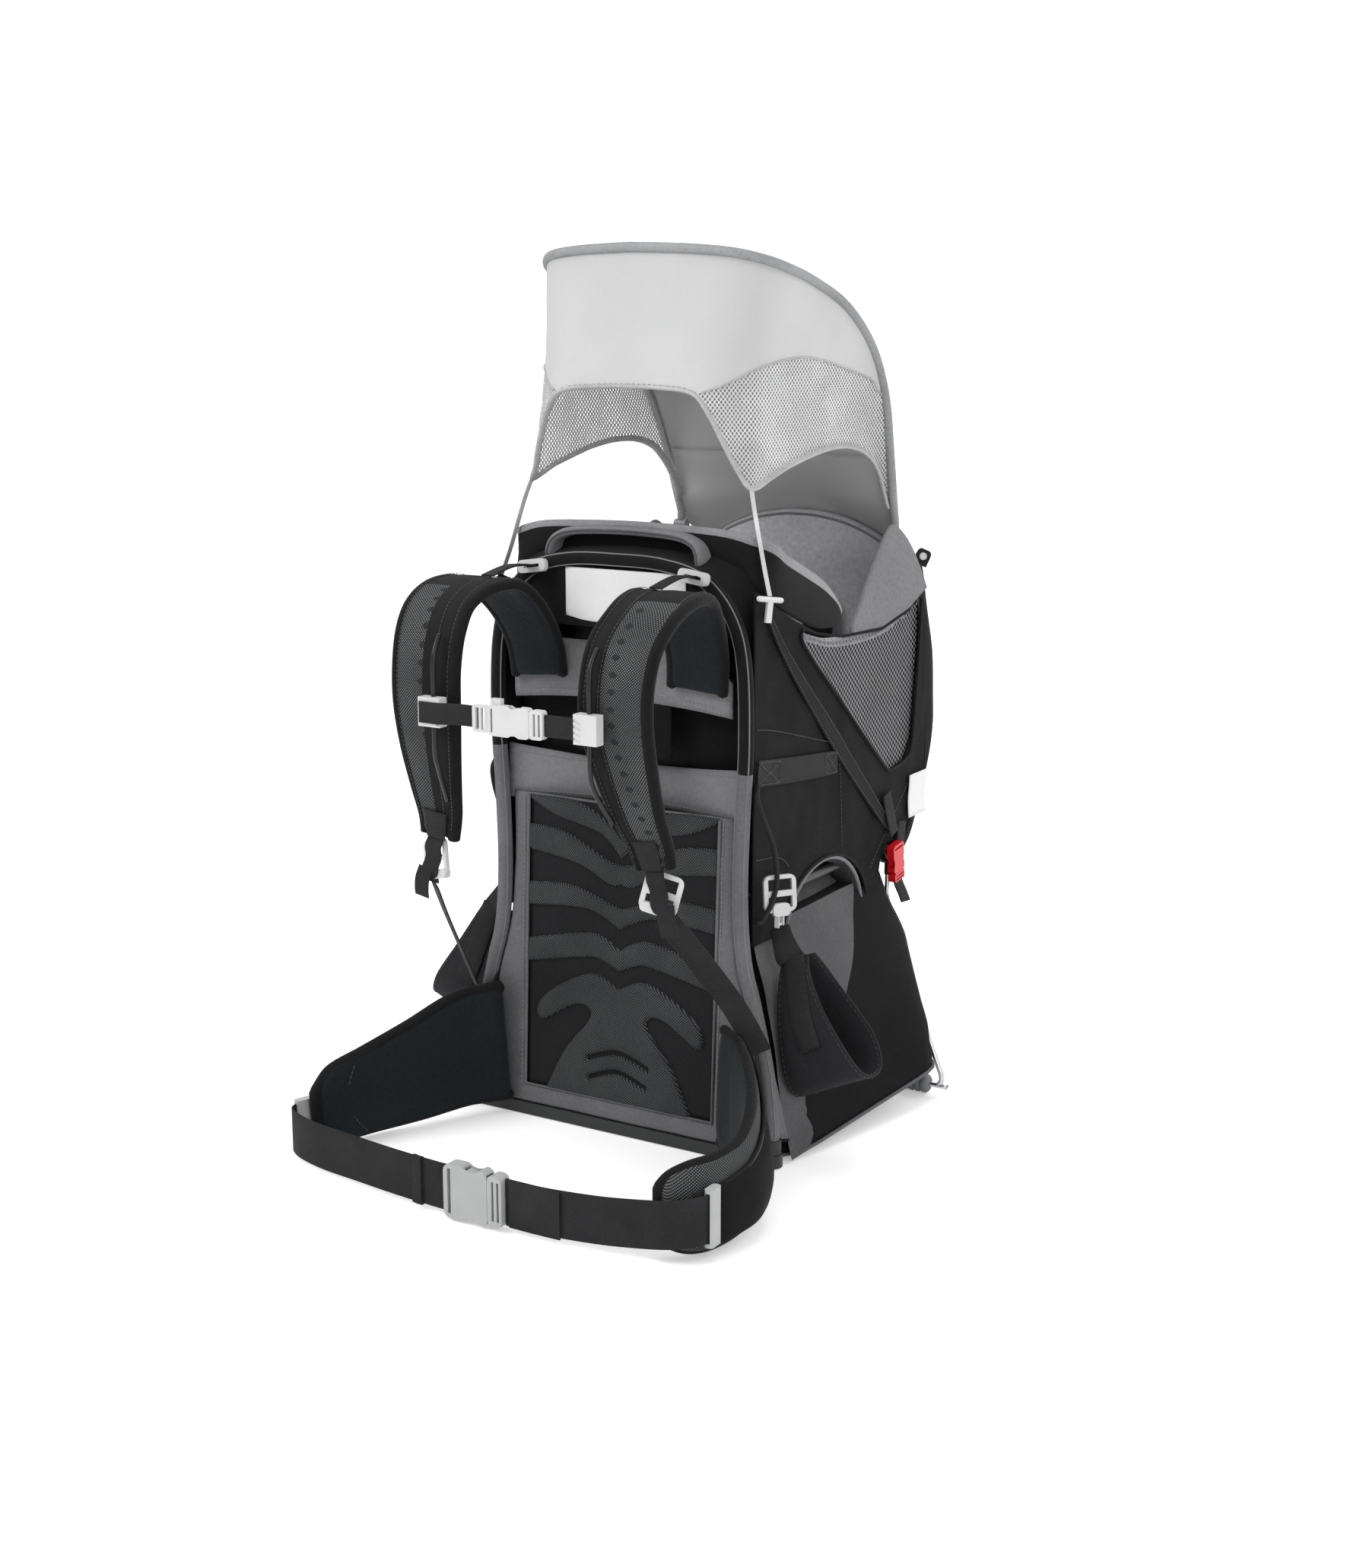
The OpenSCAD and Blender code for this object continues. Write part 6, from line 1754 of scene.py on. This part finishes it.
class CARRIER_OT_side_straps(Make, bpy.types.Operator):
    """Finish the side buckles and thread the webbing beside them"""
    bl_idname = "carrier.side_straps"
    bl_label = "Side buckles"

    def execute(self, context):
        keep("red_plastic", 0.6, "side_buckle_sockets", "side_buckle_plug_left", "side_buckle_plug_right")
        both(self.strap)
        return {"FINISHED"}

    def strap(self, s, side):
        strap_x, tab_x = side_x + 3.4, side_x + 2.6
        path = sided(s, (strap_x, 322, 345), (strap_x + 1.2, 328, 325), (strap_x + 3.5, 334, 303),
                     (strap_x + 4.4, 336, 296), width=20)
        belt(f"side_strap_{side}", path, (0, 1, 0.2))
        path = sided(s, (tab_x, 360, 262), (side_x + 3.0, 362, 282), (tab_x, 366, 304), width=20)
        belt(f"side_tab_{side}", path, (0, 1, 0.1), 2.4)
        path = sided(s, (side_x + 8.2, 342, 246), (side_x + 11.5, 342, 235), (side_x + 17, 342, 224),
                     (side_x + 22, 341, 214), width=20)
        belt(f"side_buckle_tail_{side}", path, (0, 1, 0.1), 2.4, body=f"side_plug_{side}")


class CARRIER_OT_stirrups(Make, bpy.types.Operator):
    """Hang the stirrups and their webbing from the sliders"""
    bl_idname = "carrier.stirrups"
    bl_label = "Stirrups"

    def execute(self, context):
        keep("white_plastic", 0.6, "strap_buckles")
        both(self.stirrup)
        return {"FINISHED"}

    def stirrup(self, s, side):
        body = f"stirrup_{side}"
        neck = sided(s, (177.3, 46, 253, 22), (184, 41, 242, 24), (193, 38, 226, 30), (196, 44, 219, 32))
        belt(f"stirrup_neck_{side}", neck, (s, 0.4, 0.4), 3.0, nodes=body, body=body)
        sling = sided(s, (196, 48, 222, 34), (202, 36, 200, 42), (215, 28, 160, 62), (232, 27, 118, 84),
                      (242, 38, 92, 94), (246, 58, 86, 96), (244, 76, 96, 94), (234, 84, 124, 84), (217, 78, 165, 62),
                      (204, 68, 202, 42), (198, 58, 221, 34))
        thing, track = strap(f"stirrup_sling_{side}", sling, (s, 0, 0.45), 3.0)
        # painted light: the sling's cloth is lighter than the body cloth it is cut from
        dress(thing, "sling_cloth", body=body)
        tail = sided(s, *((x + 2.6, y - 2.6, z) for x, y, z in (
            (194, 44, 226), (202, 36, 200), (214, 28, 160), (224, 26, 136), (226, 24, 132))), width=26)
        belt(f"stirrup_tail_{side}", tail, (s, 0, 0.45), 3.4, body=body)
        lines = [track.line(lambda p, w=w: w * (p[3] / 2 - 3.5), off) for w in (1, -1) for off in (1.7, -1.7)]
        dress(stitches(f"stirrup_stitches_{side}", lines, length=4.0, gap=2.6),
              "black_thread", body=body)


# ---- hinges, feet and fittings ----

class CARRIER_OT_fittings(Make, bpy.types.Operator):
    """Finish the hinges, the feet, the ladder locks, the pins and the toggles"""
    bl_idname = "carrier.fittings"
    bl_label = "Fittings"

    def execute(self, context):
        keep("black_plastic", 0.5, "kickstand_brackets", "kickstand_knuckles")
        keep("grey_hinge", 0.5, "sunshade_sockets", "sunshade_knuckles")
        keep("white_plastic", 0.6, "shoulder_ladder_locks")
        keep("pin_steel", 0.2, "kickstand_pins", "sunshade_pins")
        keep("grey_rubber", 0.6, "kickstand_feet")
        keep("white_plastic", 0.4, "sunshade_toggles")
        return {"FINISHED"}


class CARRIER_OT_filling(Make, bpy.types.Operator):
    """Fill the pads as sewn cloth under pressure"""
    bl_idname = "carrier.filling"
    bl_label = "Filling"

    def execute(self, context):
        fill_pads()
        return {"FINISHED"}


class CARRIER_PT_panel(bpy.types.Panel):
    """Lists what can be changed and what can be made"""
    bl_idname = "CARRIER_PT_panel"
    bl_label = "Child Carrier"
    bl_space_type = "VIEW_3D"
    bl_region_type = "UI"
    bl_category = "Carrier"

    def draw(self, context):
        for title, group in (("Colours", colours()), ("Sizes", sizes())):
            box = self.layout.box()
            box.label(text=title)
            for name in group.__annotations__:
                box.prop(group, name)
        column = self.layout.column(align=True)
        for operator in operators:
            column.operator(operator.bl_idname)


operators = (
    CARRIER_OT_frame, CARRIER_OT_back_panel, CARRIER_OT_seat, CARRIER_OT_side_panels, CARRIER_OT_rear,
    CARRIER_OT_kickstand, CARRIER_OT_sunshade, CARRIER_OT_harness, CARRIER_OT_chest_strap, CARRIER_OT_hip_belt,
    CARRIER_OT_side_straps, CARRIER_OT_stirrups, CARRIER_OT_fittings, CARRIER_OT_filling, CARRIER_OT_stage
)
classes = (CarrierColours, CarrierSizes, *operators, CARRIER_PT_panel)


def register():
    for cls in classes:
        bpy.utils.register_class(cls)
    bpy.types.Scene.carrier_colours = PointerProperty(type=CarrierColours)
    bpy.types.Scene.carrier_sizes = PointerProperty(type=CarrierSizes)


def unregister():
    del bpy.types.Scene.carrier_sizes
    del bpy.types.Scene.carrier_colours
    for cls in reversed(classes):
        bpy.utils.unregister_class(cls)


def main():
    register()
    for operator in operators:
        area, name = operator.bl_idname.split(".")
        getattr(getattr(bpy.ops, area), name)()
    {"frame": frame_box, "scene": [list(corner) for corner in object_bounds()]}


if __name__ == "__main__":
    main()
